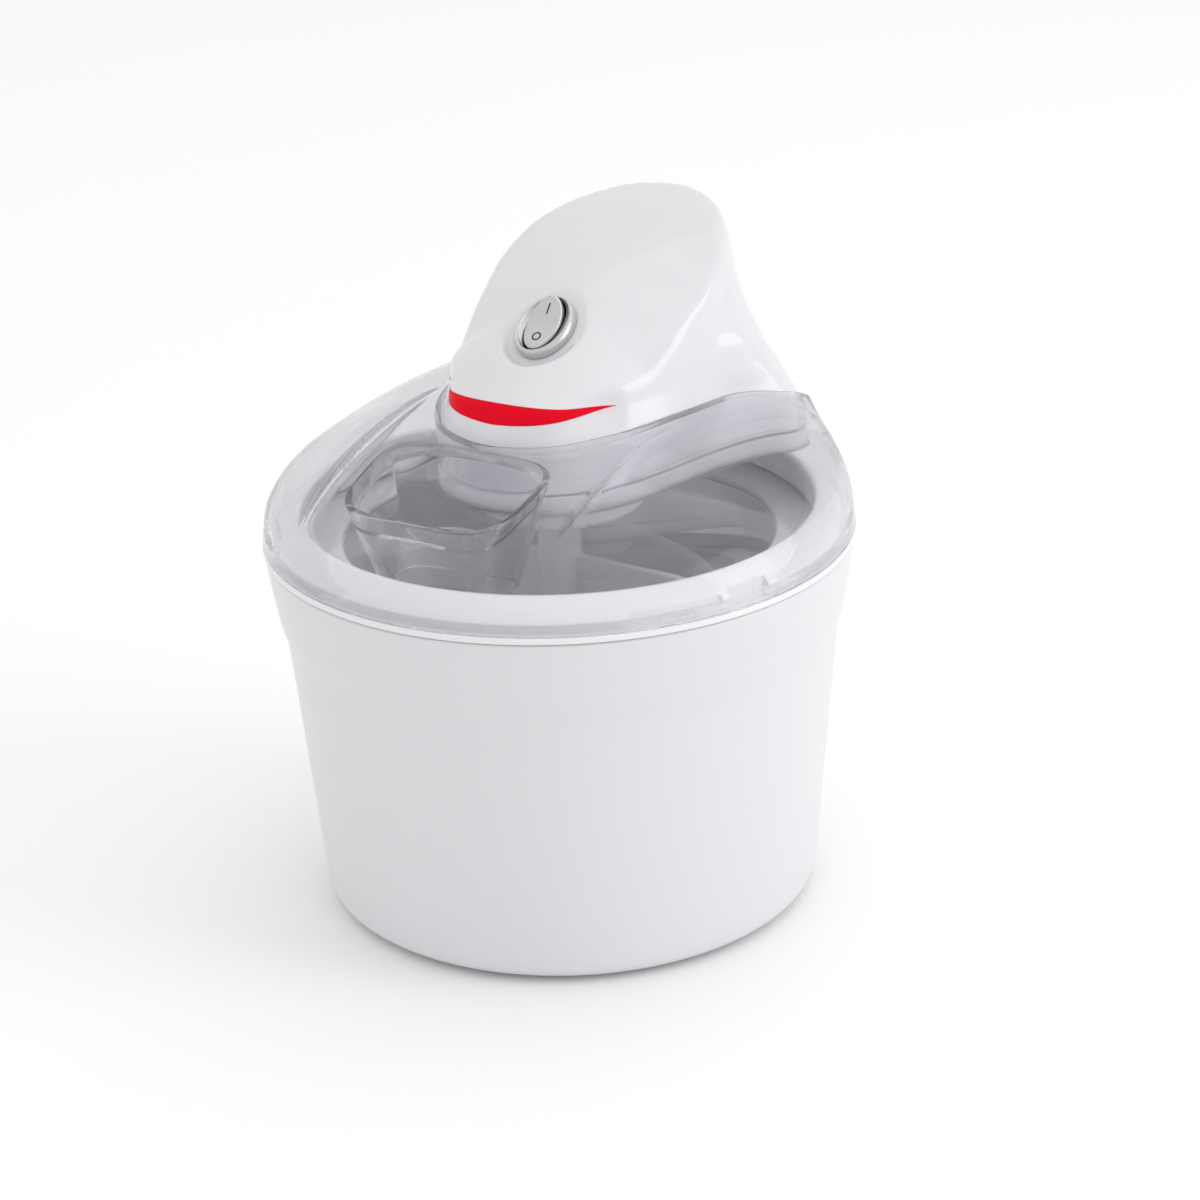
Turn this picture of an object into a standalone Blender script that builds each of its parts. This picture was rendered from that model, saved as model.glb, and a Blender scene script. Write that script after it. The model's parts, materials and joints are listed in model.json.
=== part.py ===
"""Ice cream maker: tub housing, freezer bowl, rim ring, clear lid and lift-off motor unit.

The frame is metres with +Z up.  The origin is the centre of the footprint on the table, the
appliance's front is -Y and its plane of symmetry is x = 0.  Sizes below are millimetres and are
turned to metres by MM when a mesh is made.
"""
import math

import bmesh
import bpy
import numpy as np
from mathutils import Matrix, Vector

# ---------------------------------------------------------------- driving dimensions (mm)
MM = 0.001
GAP = 0.35                # air between two pieces that touch
WALL = 2.4                # moulded wall of housing and motor unit
LID_WALL = 2.2            # moulded wall of the clear lid
STEPS = 36                # facets round the turned pieces

FOOT_R, FOOT_PCR = 7.0, 74.0   # rubber feet and the circle they stand on
BASE_Z = 1.6              # underside of the housing above the table
BASE_R = 94.0             # housing radius at the bottom
BODY_TOP_R, BODY_TOP_Z = 102.8, 103.0
COLLAR_R, COLLAR_Z = 105.6, 115.0
SEAM_R, SEAM_Z = 110.0, 144.0      # lower edge of the lid
RING_Z = 141.2            # rim ring sits on the housing here

BOWL_R, BOWL_FLOOR_Z = 80.0, 28.0  # inside of the freezer bowl
BOWL_OUT_R = 92.5                  # outside of the freezer bowl under its rim

LID_R = 109.0             # lid skirt radius at its top
LID_Z = 150.0             # height where the dome starts
FRONT_RISE, BACK_RISE = 52.6, 42.8  # rise of the dome above that
PANEL_HALF = 46.0         # half width of the flatter front panel
WELL_Z = 164.6            # top of the floor of the lid's well
BUSH_R = 8.0              # hole for the bushing in that floor
BOSS_R, BOSS_Z = 33.5, 152.4       # white boss of the bushing under that floor

CHUTE_HALF, CHUTE_BACK, CHUTE_FRONT = 37.0, -50.0, -96.0
CHUTE_FOOT_Z = 146.0
LIP = 2.4                 # width of the lid's edge round the motor unit
WELL_GAP = 1.3            # air between the motor unit and the lid's well
CASE_DRAFT = 1.7          # how far the casing's foot stands back from the well besides
CASE_LOW_Z = WELL_Z + GAP # underside of the motor unit
CASE_SPLIT_Z = 170.0      # seam between the motor unit's base and cover
BASE_FLOOR_Z = CASE_LOW_Z + 2.4

SHAFT_R = 5.0             # paddle stem where it runs in the bushing
GEAR_MODULE = 1.0
TEETH_OUTPUT, TEETH_IDLER, TEETH_SMALL, TEETH_MOTOR = 36, 36, 12, 10
IDLER_Y = GEAR_MODULE * (TEETH_OUTPUT + TEETH_SMALL) / 2
ROTOR_Y = IDLER_Y + GEAR_MODULE * (TEETH_IDLER + TEETH_MOTOR) / 2

SWITCH_Y = -4.5           # where the switch sits on the sloping face
SWITCH_TILT = math.radians(34)
SWITCH_STRETCH = 1.24     # the switch and its dish are ovals this much longer uphill than across
BEZEL_HALF = 11.2         # half widths across
HOLE_HALF = 10.6

# Outlines of the motor unit, from the nose to the middle of the back, at rising heights.
# Each is the right half of the flank.  The nose before it is given by its distance from the axis straight
# ahead and at 30 and 60 degrees from there, at its foot and higher up, where it is slimmer.
NOSE_FOOT, NOSE_TOP = (43.4, 42.9, 41.5), (42.9, 41.1, 37.0)
SECTIONS = {
    166.0: [(42.5, -2), (48, 23), (57.8, 50), (67.2, 66), (42, 88), (0, 98)],
    172.0: [(43.5, -3), (50, 20), (60, 46), (67.4, 67), (46, 87), (0, 100.5)],
    182.0: [(43, -4), (50, 18), (56, 42), (65.5, 67), (44, 86), (0, 97.5)],
    190.0: [(43, -5), (48.5, 16), (51.5, 37), (61, 64.5), (41, 83), (0, 95)],
    196.0: [(40, -8), (46, 14), (51, 35), (59, 62.5), (39.5, 80), (0, 93.5)],
    201.0: [(38.5, -9), (45, 13), (50.5, 34), (56.5, 60), (38, 78), (0, 92.5)],
    210.0: [(38.5, -9), (43.5, 11), (49.5, 33), (54, 56), (36, 76), (0, 91.5)],
    220.0: [(40, -8), (44, 18), (47, 42), (47.5, 58), (32, 76), (0, 91)],
    230.0: [(40.5, -8), (45, 22), (46, 42), (42.5, 61), (29, 78), (0, 90.5)],
    240.0: [(40.5, -8), (44, 22), (44, 44), (38.5, 64), (25, 81), (0, 90.5)],
    254.0: [(39.5, -8), (41, 20), (38.5, 42), (33, 65), (19, 83), (0, 90)],
}
# Middle line of the sloping face (y, z) and how far its sides drop 40 mm off the middle (y, drop).
SPINE = [(-45.5, 189), (-38, 202), (-22, 212), (-4, 222), (16, 232), (36, 239.5), (68, 248.5),
         (84, 251.5), (104, 252)]
CROWN = [(-45, 11), (-15, 13), (0, 16.5), (21, 10.3), (40, 6.4), (56, 3.4), (104, 2.8)]

# Height of the lid's edge round the motor unit, at angles from the front taken about (0, MID_Y).
MID_Y = 28.0
EDGE_HEIGHTS = [(0, 187.7), (20, 188.8), (40, 190), (60, 191), (80, 190.8), (100, 190), (110, 189),
                (116, 187), (122, 181.5), (130, 177.5), (145, 174), (160, 172), (180, 171)]

WHITE = (0.86, 0.86, 0.87, 1)
CLEAR = (0.93, 0.95, 0.97, 1)


# ---------------------------------------------------------------- scene and materials
def clear_scene():
    for item in list(bpy.data.objects):
        bpy.data.objects.remove(item, do_unlink=True)


def collection(name):
    group = bpy.data.collections.new(name)
    bpy.context.scene.collection.children.link(group)
    return group


def material(name, colour, roughness, metallic=0.0, transmission=0.0):
    made = bpy.data.materials.get(name)
    if made is None:
        made = bpy.data.materials.new(name)
        made.use_nodes = True
        shader = made.node_tree.nodes["Principled BSDF"]
        shader.inputs["Base Color"].default_value = colour
        shader.inputs["Roughness"].default_value = roughness
        shader.inputs["Metallic"].default_value = metallic
        shader.inputs["Transmission Weight"].default_value = transmission
    return made


clear_scene()
PARTS = collection("ice_cream_maker")
TOOLS = collection("cutters")

LOOKS = {
    "white": material("white_plastic", WHITE, 0.25),
    "clear": material("clear_plastic", CLEAR, 0.05, transmission=0.9),
    "grey": material("grey_plastic", (0.35, 0.36, 0.38, 1), 0.5),
    "black": material("black_plastic", (0.03, 0.03, 0.03, 1), 0.5),
    "red": material("red_trim", (0.78, 0.0, 0.02, 1), 0.35),
    "rubber": material("rubber", (0.5, 0.5, 0.5, 1), 0.8),
    "aluminium": material("aluminium", (0.7, 0.71, 0.72, 1), 0.35, metallic=1.0),
    "silver": material("silver_plastic", (0.62, 0.64, 0.64, 1), 0.3, metallic=0.6),
    "steel": material("steel", (0.55, 0.56, 0.58, 1), 0.3, metallic=1.0),
    "brass": material("brass", (0.72, 0.55, 0.25, 1), 0.3, metallic=1.0),
    "copper": material("copper_winding", (0.7, 0.32, 0.15, 1), 0.4, metallic=1.0),
    "ferrite": material("ferrite", (0.08, 0.08, 0.09, 1), 0.6),
    "gel": material("coolant_gel", (0.35, 0.6, 0.8, 1), 0.4),
    "gear": material("white_acetal", (0.9, 0.89, 0.84, 1), 0.4),
}


# ---------------------------------------------------------------- modelling helpers
def mesh_object(name, points, faces, look, group=None):
    """An object from points in millimetres, with its faces made to point outwards."""
    mesh = bpy.data.meshes.new(name)
    mesh.from_pydata([Vector(p) * MM for p in points], [], faces)
    work = bmesh.new()
    work.from_mesh(mesh)
    bmesh.ops.recalc_face_normals(work, faces=work.faces)
    bmesh.ops.triangulate(work, faces=work.faces)
    work.to_mesh(mesh)
    work.free()
    made = bpy.data.objects.new(name, mesh)
    (group or PARTS).objects.link(made)
    if look:
        mesh.materials.append(LOOKS[look])
    return made


def weld(made):
    step = made.modifiers.new("weld", "WELD")
    step.merge_threshold = 0.00005
    return made


def as_cutter(made):
    for group in made.users_collection:
        group.objects.unlink(made)
    TOOLS.objects.link(made)
    made.hide_render = True
    made.display_type = "WIRE"
    return made


def boolean(made, tool, operation="DIFFERENCE", solver="EXACT"):
    step = made.modifiers.new(operation.lower(), "BOOLEAN")
    step.operation = operation
    step.object = tool
    step.solver = solver
    as_cutter(tool)
    return made


def turned(name, profile, look, at=(0, 0), steps=STEPS, closed=False, group=None):
    """Turn a profile of (radius, height), listed down its outer side, about a vertical axis."""
    mesh = bpy.data.meshes.new(name)
    edges = [(i, i + 1) for i in range(len(profile) - 1)]
    if closed:
        edges.append((len(profile) - 1, 0))
    mesh.from_pydata([(r * MM, 0, z * MM) for r, z in profile], edges, [])
    made = bpy.data.objects.new(name, mesh)
    (group or PARTS).objects.link(made)
    made.location = (at[0] * MM, at[1] * MM, 0)
    step = made.modifiers.new("turn", "SCREW")
    step.steps = steps
    step.render_steps = steps
    step.use_merge_vertices = True
    step.merge_threshold = 0.00001
    step.use_smooth_shade = True
    if look:
        mesh.materials.append(LOOKS[look])
    return made


def thicken(made, thickness):
    step = made.modifiers.new("wall", "SOLIDIFY")
    step.thickness = thickness * MM
    step.offset = -1
    step.use_even_offset = True
    return made


def block(name, low, high, look, bevel=0.0, group=None):
    """A box between two corners, its edges optionally rounded."""
    low, high = Vector(low) * MM, Vector(high) * MM
    mesh = bpy.data.meshes.new(name)
    work = bmesh.new()
    bmesh.ops.create_cube(work, size=1)
    for point in work.verts:
        point.co = Vector(((low[i] + high[i]) / 2 + point.co[i] * (high[i] - low[i])) for i in range(3))
    work.to_mesh(mesh)
    work.free()
    made = bpy.data.objects.new(name, mesh)
    (group or PARTS).objects.link(made)
    if look:
        mesh.materials.append(LOOKS[look])
    if bevel:
        step = made.modifiers.new("edges", "BEVEL")
        step.width = bevel * MM
        step.segments = 2
    return made


def rod(name, radius, low, high, look, at=(0, 0), steps=16, group=None):
    """An upright cylinder."""
    return turned(name, [(0, high), (radius, high), (radius, low), (0, low)], look, at, steps, group=group)


def rods(name, bars, steps=12):
    """One cutter of several upright cylinders, each given as (x, y, radius, low, high)."""
    work = bmesh.new()
    for x, y, radius, low, high in bars:
        middle = Vector((x, y, (low + high) / 2)) * MM
        bmesh.ops.create_cone(work, cap_ends=True, cap_tris=True, segments=steps, radius1=radius * MM,
                              radius2=radius * MM, depth=(high - low) * MM,
                              matrix=Matrix.Translation(middle))
    mesh = bpy.data.meshes.new(name)
    work.to_mesh(mesh)
    work.free()
    made = bpy.data.objects.new(name, mesh)
    TOOLS.objects.link(made)
    return made


def sleeve(name, inner, outer, low, high, look, at=(0, 0), steps=24, group=None):
    """An upright tube."""
    loop = [(outer, high), (outer, low), (inner, low), (inner, high)]
    return turned(name, loop, look, at, steps, closed=True, group=group)


def plate(name, outline, low, high, look, group=None):
    """An outline of (x, y) raised from one height to another."""
    count = len(outline)
    points = [(x, y, low) for x, y in outline] + [(x, y, high) for x, y in outline]
    faces = [list(range(count))[::-1], list(range(count, 2 * count))]
    faces += [(i, (i + 1) % count, count + (i + 1) % count, count + i) for i in range(count)]
    return mesh_object(name, points, faces, look, group)


def loft(name, rings, look, group=None):
    """Join rings with equal counts of points, and close the first and the last."""
    count = len(rings[0])
    points = [p for ring in rings for p in ring]
    faces = [list(range(count))[::-1], list(range(len(points) - count, len(points)))]
    for row in range(len(rings) - 1):
        for i in range(count):
            a, b = row * count + i, row * count + (i + 1) % count
            faces.append((a, b, b + count, a + count))
    return mesh_object(name, points, faces, look, group)


def put_origin(made, point):
    """Move an object's origin to a point in millimetres and leave its shape in place."""
    shift = Vector(point) * MM - made.location
    made.data.transform(Matrix.Translation(-shift))
    made.location = made.location + shift
    return made


def oval(half_x, half_y, at=(0, 0), count=24):
    turn = [2 * math.pi * i / count for i in range(count)]
    return [(at[0] + half_x * math.cos(a), at[1] + half_y * math.sin(a)) for a in turn]


# ---------------------------------------------------------------- shapes of lid and motor unit
def ramp(low, high, value):
    part = min(max((value - low) / (high - low), 0.0), 1.0)
    return part * part * (3 - 2 * part)


def around(turn, radius):
    """A place at an angle from the front, turning towards +X."""
    a = math.radians(turn)
    return Vector((radius * math.sin(a), -radius * math.cos(a)))


def lid_height(x, y):
    """Top of the clear lid: a dome, fuller at the back, with a flatter panel at the front."""
    radius = min(math.hypot(x, y) / LID_R, 1.0)
    turn = math.degrees(math.atan2(abs(x), -y))
    front = FRONT_RISE * (1 - radius ** 1.27) ** 0.52
    back = BACK_RISE * (1 - radius ** 6.9) ** 0.61
    share = ramp(80, 150, turn)
    dome = LID_Z + front * (1 - share) + back * share
    panel = 187 + 0.29 * (y + 48) - 5 * (x / 50) ** 2
    side = ramp(PANEL_HALF, PANEL_HALF + 8, abs(x))
    return min(dome, panel) * (1 - side) + dome * side


def outline_at(height, parts=2):
    """The motor unit's outline at a height, as a closed loop of points starting at the nose."""
    levels = sorted(SECTIONS)
    height = min(max(height, levels[0]), levels[-1])
    above = next(i for i, z in enumerate(levels) if z >= height)
    below = max(above - 1, 0)
    span = levels[above] - levels[below] or 1
    share = (height - levels[below]) / span
    lower, upper = SECTIONS[levels[below]], SECTIONS[levels[above]]
    flank = [Vector(a).lerp(Vector(b), share) for a, b in zip(lower, upper)]
    slim = ramp(188, 199, height)
    radii = [foot + (top - foot) * slim for foot, top in zip(NOSE_FOOT, NOSE_TOP)]
    nose = [around(30 * i, radius) for i, radius in enumerate(radii)]
    knots = nose + flank
    knots = [Vector((-knots[1].x, knots[1].y))] + knots + [Vector((-knots[-2].x, knots[-2].y))]
    right = []
    for i in range(1, len(knots) - 2):
        a, b, c, d = knots[i - 1:i + 3]
        for step in range(parts):
            t = step / parts
            right.append((2 * b + (c - a) * t + (2 * a - 5 * b + 4 * c - d) * t * t
                          + (3 * b - 3 * c + d - a) * t ** 3) / 2)
    right.append(knots[-2])
    left = [Vector((-p.x, p.y)) for p in reversed(right[1:-1])]
    return right + left


def grown(loop, distance):
    """A closed loop of points moved outwards (or inwards, below zero) along its normals."""
    made = []
    for i, point in enumerate(loop):
        along = (loop[(i + 1) % len(loop)] - loop[i - 1]).normalized()
        made.append(point + Vector((along.y, -along.x)) * distance)
    return made


def lid_edge():
    """The lid's edge round the motor unit: for each outline point, its outside, inside and height."""
    edge = []
    for i, place in enumerate(outline_at(190)):
        height = table(EDGE_HEIGHTS, math.degrees(math.atan2(abs(place.x), MID_Y - place.y)))
        loop = outline_at(height)
        edge.append((grown(loop, LIP + WELL_GAP)[i], grown(loop, WELL_GAP)[i], height))
    return edge


def case_outline(height):
    """The casing's outline: under the lid's edge it runs straight in to its foot."""
    foot, made = grown(outline_at(0), -CASE_DRAFT), []
    for i, place in enumerate(outline_at(height)):
        top = EDGE[i][2]
        if height < top:
            share = max(height - CASE_LOW_Z, 0) / (top - CASE_LOW_Z)
            place = foot[i].lerp(outline_at(top)[i], share)
        made.append(place)
    return made


def table(pairs, value):
    places, heights = zip(*pairs)
    return float(np.interp(value, places, heights))


def face_height(x, y):
    """Top of the motor unit: the sloping face, which falls off steeply past its side edges."""
    crown = table(CROWN, y) * (min(abs(x), PANEL_HALF) / 40) ** 2
    return table(SPINE, y) - crown - 8 * ramp(PANEL_HALF, PANEL_HALF + 6, abs(x))


def motor_form(name, inset, low, look, group):
    """The motor unit's outer form made smaller by an inset, from a height upwards."""
    levels = [low] + [z for z in sorted(SECTIONS) if z > low]
    rings = [[(p.x, p.y, z) for p in grown(case_outline(z), -inset)] for z in levels]
    form = loft(name, rings, look, group)
    across = np.linspace(-100, 100, 19)
    along = np.linspace(-60, 112, 16)
    points = [(x, y, face_height(x, y) - inset * 1.2) for y in along for x in across]
    points += [(x, y, 90) for y in along for x in across]
    wide, deep = len(across), len(along)
    faces = []
    for row in range(deep - 1):
        for column in range(wide - 1):
            a = row * wide + column
            top = (a, a + 1, a + wide + 1, a + wide)
            faces += [top, tuple(i + wide * deep for i in reversed(top))]
    edge = [i for i in range(wide)] + [row * wide + wide - 1 for row in range(1, deep)]
    edge += [(deep - 1) * wide + i for i in range(wide - 2, -1, -1)]
    edge += [row * wide for row in range(deep - 2, 0, -1)]
    for i, a in enumerate(edge):
        b = edge[(i + 1) % len(edge)]
        faces.append((a, b, b + wide * deep, a + wide * deep))
    under_face = mesh_object(name + "_face", points, faces, None, TOOLS)
    return boolean(form, under_face, "INTERSECT")


# ---------------------------------------------------------------- housing and feet
def make_housing():
    profile = [(0, BASE_Z + 2.6), (BASE_R - 6, BASE_Z + 2.6), (BASE_R - 2.6, BASE_Z + 6),
               (BODY_TOP_R - WALL, BODY_TOP_Z), (COLLAR_R - WALL, COLLAR_Z), (104.3, 125), (104.3, 138.6),
               (106.9, 138.6), (106.9, RING_Z - GAP),
               (SEAM_R - 0.6, RING_Z - GAP), (SEAM_R - 1.0, 136), (COLLAR_R, COLLAR_Z),
               (BODY_TOP_R + 0.7, BODY_TOP_Z + 5), (BODY_TOP_R, BODY_TOP_Z), (BASE_R + 0.3, BASE_Z + 8),
               (BASE_R - 0.8, BASE_Z + 3.5), (BASE_R - 4, BASE_Z + 0.7), (BASE_R - 7.5, BASE_Z),
               (0, BASE_Z)]
    turned("outer_housing", profile, "white")
    for i in range(4):
        turn = math.radians(45 + 90 * i)
        place = (FOOT_PCR * math.cos(turn), FOOT_PCR * math.sin(turn))
        rod(f"foot_{i + 1}", FOOT_R, 0, BASE_Z - GAP, "rubber", place, steps=20)


# ---------------------------------------------------------------- freezer bowl
def make_bowl():
    floor = BOWL_FLOOR_Z
    top = 138.5
    inner = [(0, floor), (66, floor), (73, floor + 3), (76.6, floor + 10), (BOWL_R + 0.3, top),
             (BOWL_R + 1.8, top), (78.2, floor + 10), (74.2, floor + 1.8), (66.6, floor - 1.5),
             (0, floor - 1.5)]
    turned("bowl_inner", inner, "aluminium")
    gel = [(0, floor - 1.9), (67, floor - 1.9), (74.9, floor + 1.4), (78.7, floor + 9.8), (82.1, 133),
           (BOWL_OUT_R - 2.6, 133), (86.6, 19.6), (82.6, 16.7), (0, 16.7)]
    turned("coolant_gel", gel, "gel")
    outer = [(0, 16.2), (83, 16.2), (87, 19.2), (BOWL_OUT_R - 2.1, top), (BOWL_OUT_R, top),
             (89.2, 19), (87, 15.5), (84, 14), (0, 14)]
    turned("bowl_outer", outer, "white")
    rim = [(106.4, 140.9), (106.4, 138.95), (95.4, 138.95), (95.4, 130), (93.0, 130), (93.0, 138.85),
           (BOWL_R + 0.3, 138.85), (BOWL_R + 0.3, 140.0), (BOWL_R + 1.2, 140.9)]
    turned("bowl_rim", rim, "white", closed=True)


# ---------------------------------------------------------------- rim ring with its bayonet slots
TAB_TURNS = [55 + 120 * i for i in range(3)]      # tabs of the lid, degrees from the front
TAB_HALF = 4.0            # half the width of a tab, degrees
UNLOCK = 16.0             # turn of the lid that brings its tabs to the entries, degrees


def wedge(name, turn, half, inner, outer, low, high, look, group=None):
    """A block bent round the axis, centred on an angle from the front."""
    turns = [turn - half, turn - half / 3, turn + half / 3, turn + half]
    outline = [around(t, outer) for t in turns] + [around(t, inner) for t in reversed(turns)]
    return plate(name, [(p.x, p.y) for p in outline], low, high, look, group)


def make_rim_ring():
    loop = [(105.8, 146.7), (103.4, 146.7), (103.4, SEAM_Z - GAP - 0.05), (SEAM_R, SEAM_Z - GAP - 0.05),
            (SEAM_R, RING_Z), (97, RING_Z), (94.6, 143), (94.6, 152.6), (95.2, 153.9), (96.6, 154.2),
            (99.5, 153.2), (103.0, 150.8), (105.3, 148.4)]
    ring = turned("rim_ring", loop, "white", closed=True)
    for i, turn in enumerate(TAB_TURNS):
        slot = wedge(f"entry_{i}", turn + UNLOCK, TAB_HALF + 0.8, 103.1, 112, 143.75, 160, None, TOOLS)
        boolean(ring, slot)


# ---------------------------------------------------------------- clear lid
def chute_loop(shrink, height, tilt=0.0, margin=0.0):
    """Rounded outline of the chute; it tapers towards its foot by `shrink`."""
    middle = (CHUTE_BACK + CHUTE_FRONT) / 2
    half = (CHUTE_BACK - CHUTE_FRONT) / 2 - margin
    points = []
    for i in range(28):
        a = 2 * math.pi * i / 28
        x = (CHUTE_HALF - margin) * math.copysign(abs(math.cos(a)) ** 0.5, math.cos(a))
        y = half * math.copysign(abs(math.sin(a)) ** 0.5, math.sin(a))
        y = y * shrink + middle
        x = x * shrink * (1 - 0.1 * (CHUTE_BACK - y) / (CHUTE_BACK - CHUTE_FRONT))
        points.append((x, y, height + tilt * (y - CHUTE_BACK)))
    return points


def make_lid():
    edge = EDGE
    foot = grown(outline_at(0), WELL_GAP)
    rows = []
    for radius, height in ((LID_R + 0.8, SEAM_Z), (LID_R + 0.4, 147.0)):
        rows.append([Vector((*(p.normalized() * radius), height)) for p, _, _ in edge])
    for part in (0.0, 0.04, 0.15, 0.35, 0.65, 1.0):
        row = []
        for outside, _, height in edge:
            place = (outside.normalized() * LID_R).lerp(outside, part)
            rise = (height - lid_height(*outside)) * part ** 3
            row.append(Vector((*place, lid_height(*place) + rise)))
        rows.append(row)
    for part in (0.0, 0.5, 1.0):
        row = []
        for i, (_, inside, height) in enumerate(edge):
            row.append(Vector((*inside.lerp(foot[i], part), height + (WELL_Z - height) * part)))
        rows.append(row)
    rows.append([Vector((*(p.normalized() * 24), WELL_Z)) for p, _, _ in edge])
    rows.append([Vector((*(p.normalized() * (BUSH_R + 1)), WELL_Z)) for p, _, _ in edge])
    count = len(edge)
    points = [p for row in rows for p in row]
    faces = []
    for start in range(0, len(points) - count, count):
        for i in range(count):
            a, b = start + i, start + (i + 1) % count
            faces.append((a, b, b + count, a + count))
    lid = mesh_object("lid", points, faces, "clear")
    if lid.data.polygons[count * 5].normal.z < 0:
        lid.data.flip_normals()
    thicken(lid, LID_WALL)
    body = loft("chute_body", [chute_loop(0.68, CHUTE_FOOT_Z), chute_loop(1.0, 187.6, 0.28)], None, TOOLS)
    hole = loft("chute_hole", [chute_loop(0.66, CHUTE_FOOT_Z - 4, margin=LID_WALL),
                               chute_loop(1.02, 192, 0.28, margin=LID_WALL)], None, TOOLS)
    boolean(lid, body, "UNION")
    boolean(lid, hole)
    for i, turn in enumerate(TAB_TURNS):
        tab = wedge(f"tab_{i}", turn, TAB_HALF, 103.9, 108.6, SEAM_Z + 0.15, SEAM_Z + 2.3, None, TOOLS)
        boolean(lid, tab, "UNION")
    under = WELL_Z - LID_WALL - GAP
    flange = [(BUSH_R + 0.6, WELL_Z - 0.2), (BUSH_R + 0.6, under), (BOSS_R, under),
              (BOSS_R - 1, BOSS_Z + 2), (BOSS_R - 3, BOSS_Z), (SHAFT_R + 1.6, BOSS_Z),
              (SHAFT_R + 1.6, WELL_Z - 0.2)]
    turned("lid_bushing", flange, "gear", steps=24, closed=True)


# ---------------------------------------------------------------- paddle
PADDLE_TURN = 90.0        # direction of the arms at rest, degrees from the front


def make_paddle():
    stem = SHAFT_R + 1.3
    profile = [(0, 164.1), (stem, 164.1), (stem, BOSS_Z - 0.6), (9.5, BOSS_Z - 0.6), (9.5, 148.5),
               (7.5, 146), (8.5, 130), (9.5, 40), (7, 32), (0, 30.5)]
    hub = turned("paddle", profile, "white", steps=24)
    arm = [(4, 33), (60, 31.2), (69, 34), (73.6, 42), (74.8, 60), (75.8, 118), (70, 126), (52, 131),
           (4, 133)]
    window = [(19, 50), (62, 50), (62, 112), (19, 112)]
    for side, sign in (("a", 1), ("b", -1)):
        for kind, outline, half, step in (("arm", arm, 1.6, "UNION"), ("window", window, 5, "DIFFERENCE")):
            tool = plate(f"{kind}_{side}", [(x * sign, z) for x, z in outline], -half, half, None, TOOLS)
            tool.data.transform(Matrix.Rotation(math.radians(90), 4, "X"))
            tool.rotation_euler.z = math.radians(PADDLE_TURN - 90)
            boolean(hub, tool, step)
    socket = block("socket", (-3.4, -3.4, 151), (3.4, 3.4, 170), None, group=TOOLS)
    socket.rotation_euler.z = math.radians(PADDLE_TURN - 90)
    boolean(hub, socket)


# ---------------------------------------------------------------- motor unit casing
SCREW_PLACES = [(30, -12), (-30, -12), (31, 70), (-31, 70)]
POST_PLACES = [(0, -27), (25, 50), (-25, 50)]
PLATE_Z = 186.3
INLET_Z = 181.0


def switch_centre():
    return Vector((0, SWITCH_Y, table(SPINE, SWITCH_Y)))


def stretched(made):
    """Turn round work about the origin into the switch's oval."""
    made.scale.y = SWITCH_STRETCH
    return made


def on_switch(made):
    """Place an object made about the origin onto the sloping face."""
    made.location = switch_centre() * MM
    made.rotation_euler = (SWITCH_TILT, 0, 0)
    return made


def make_cover():
    cover = motor_form("motor_cover", 0, CASE_SPLIT_Z + GAP, "white", PARTS)
    boolean(cover, motor_form("cover_hollow", WALL, 160, None, TOOLS))
    boss = turned("switch_boss", [(0, -1.7), (9, -1.9), (16, -3.6), (16, -8), (0, -8)], None,
                  group=TOOLS, steps=24)
    boolean(cover, on_switch(stretched(boss)), "UNION")
    tops = [min(face_height(x, y) - 3.5, 214) for x, y in SCREW_PLACES]
    bosses = [(x, y, 5.0, 180.5, top) for (x, y), top in zip(SCREW_PLACES, tops)]
    boolean(cover, rods("cover_bosses", bosses), "UNION")
    boolean(cover, rods("cover_boss_holes", [(x, y, 2.3, 176, 193) for x, y in SCREW_PLACES]))
    dish = turned("dish", [(0, 8), (17.2, 8), (16.4, 0.4), (14.2, -1.4), (12.2, -2.5), (0, -2.6)], None,
                  group=TOOLS, steps=32)
    boolean(cover, on_switch(stretched(dish)))
    hole = rod("switch_hole", HOLE_HALF, -20, 8, None, steps=32, group=TOOLS)
    boolean(cover, on_switch(stretched(hole)))
    inlet = rod("inlet_hole", 5.4, -12, 12, None, steps=16, group=TOOLS)
    inlet.location = Vector((0, 97, INLET_Z)) * MM
    inlet.rotation_euler.x = math.radians(90)
    boolean(cover, inlet)
    weld(cover)


def make_base():
    outline = [(p.x, p.y, CASE_LOW_Z) for p in case_outline(CASE_LOW_Z)]
    rim = [(p.x, p.y, CASE_SPLIT_Z) for p in case_outline(CASE_SPLIT_Z)]
    base = loft("motor_base", [outline, rim], "white")
    pocket = [[(p.x, p.y, z) for p in grown(case_outline(level), -WALL)]
              for z, level in ((BASE_FLOOR_Z, BASE_FLOOR_Z), (176, CASE_SPLIT_Z))]
    boolean(base, loft("base_pocket", pocket, None, TOOLS), solver="MANIFOLD")
    posts = [(x, y, 5.1, 166.5, 180) for x, y in SCREW_PLACES]
    posts += [(x, y, 4.0, 166.5, PLATE_Z - GAP) for x, y in POST_PLACES]
    boolean(base, rods("base_posts", posts), "UNION", "MANIFOLD")
    bores = [(x, y, 3.8, 160, 176) for x, y in SCREW_PLACES]
    bores += [(x, y, 1.7, 176, 190) for x, y in POST_PLACES]
    boolean(base, rods("base_bores", bores + [(0, 0, 6.4, 160, 175)]), solver="MANIFOLD")
    holes = [(x, y, 2.3, 170, 185) for x, y in SCREW_PLACES]
    boolean(base, rods("base_screw_holes", holes), solver="MANIFOLD")
    weld(base)
    sleeve("output_bushing", 4.35, 6.05, CASE_LOW_Z + 0.1, 170.2, "brass", steps=20)


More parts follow.
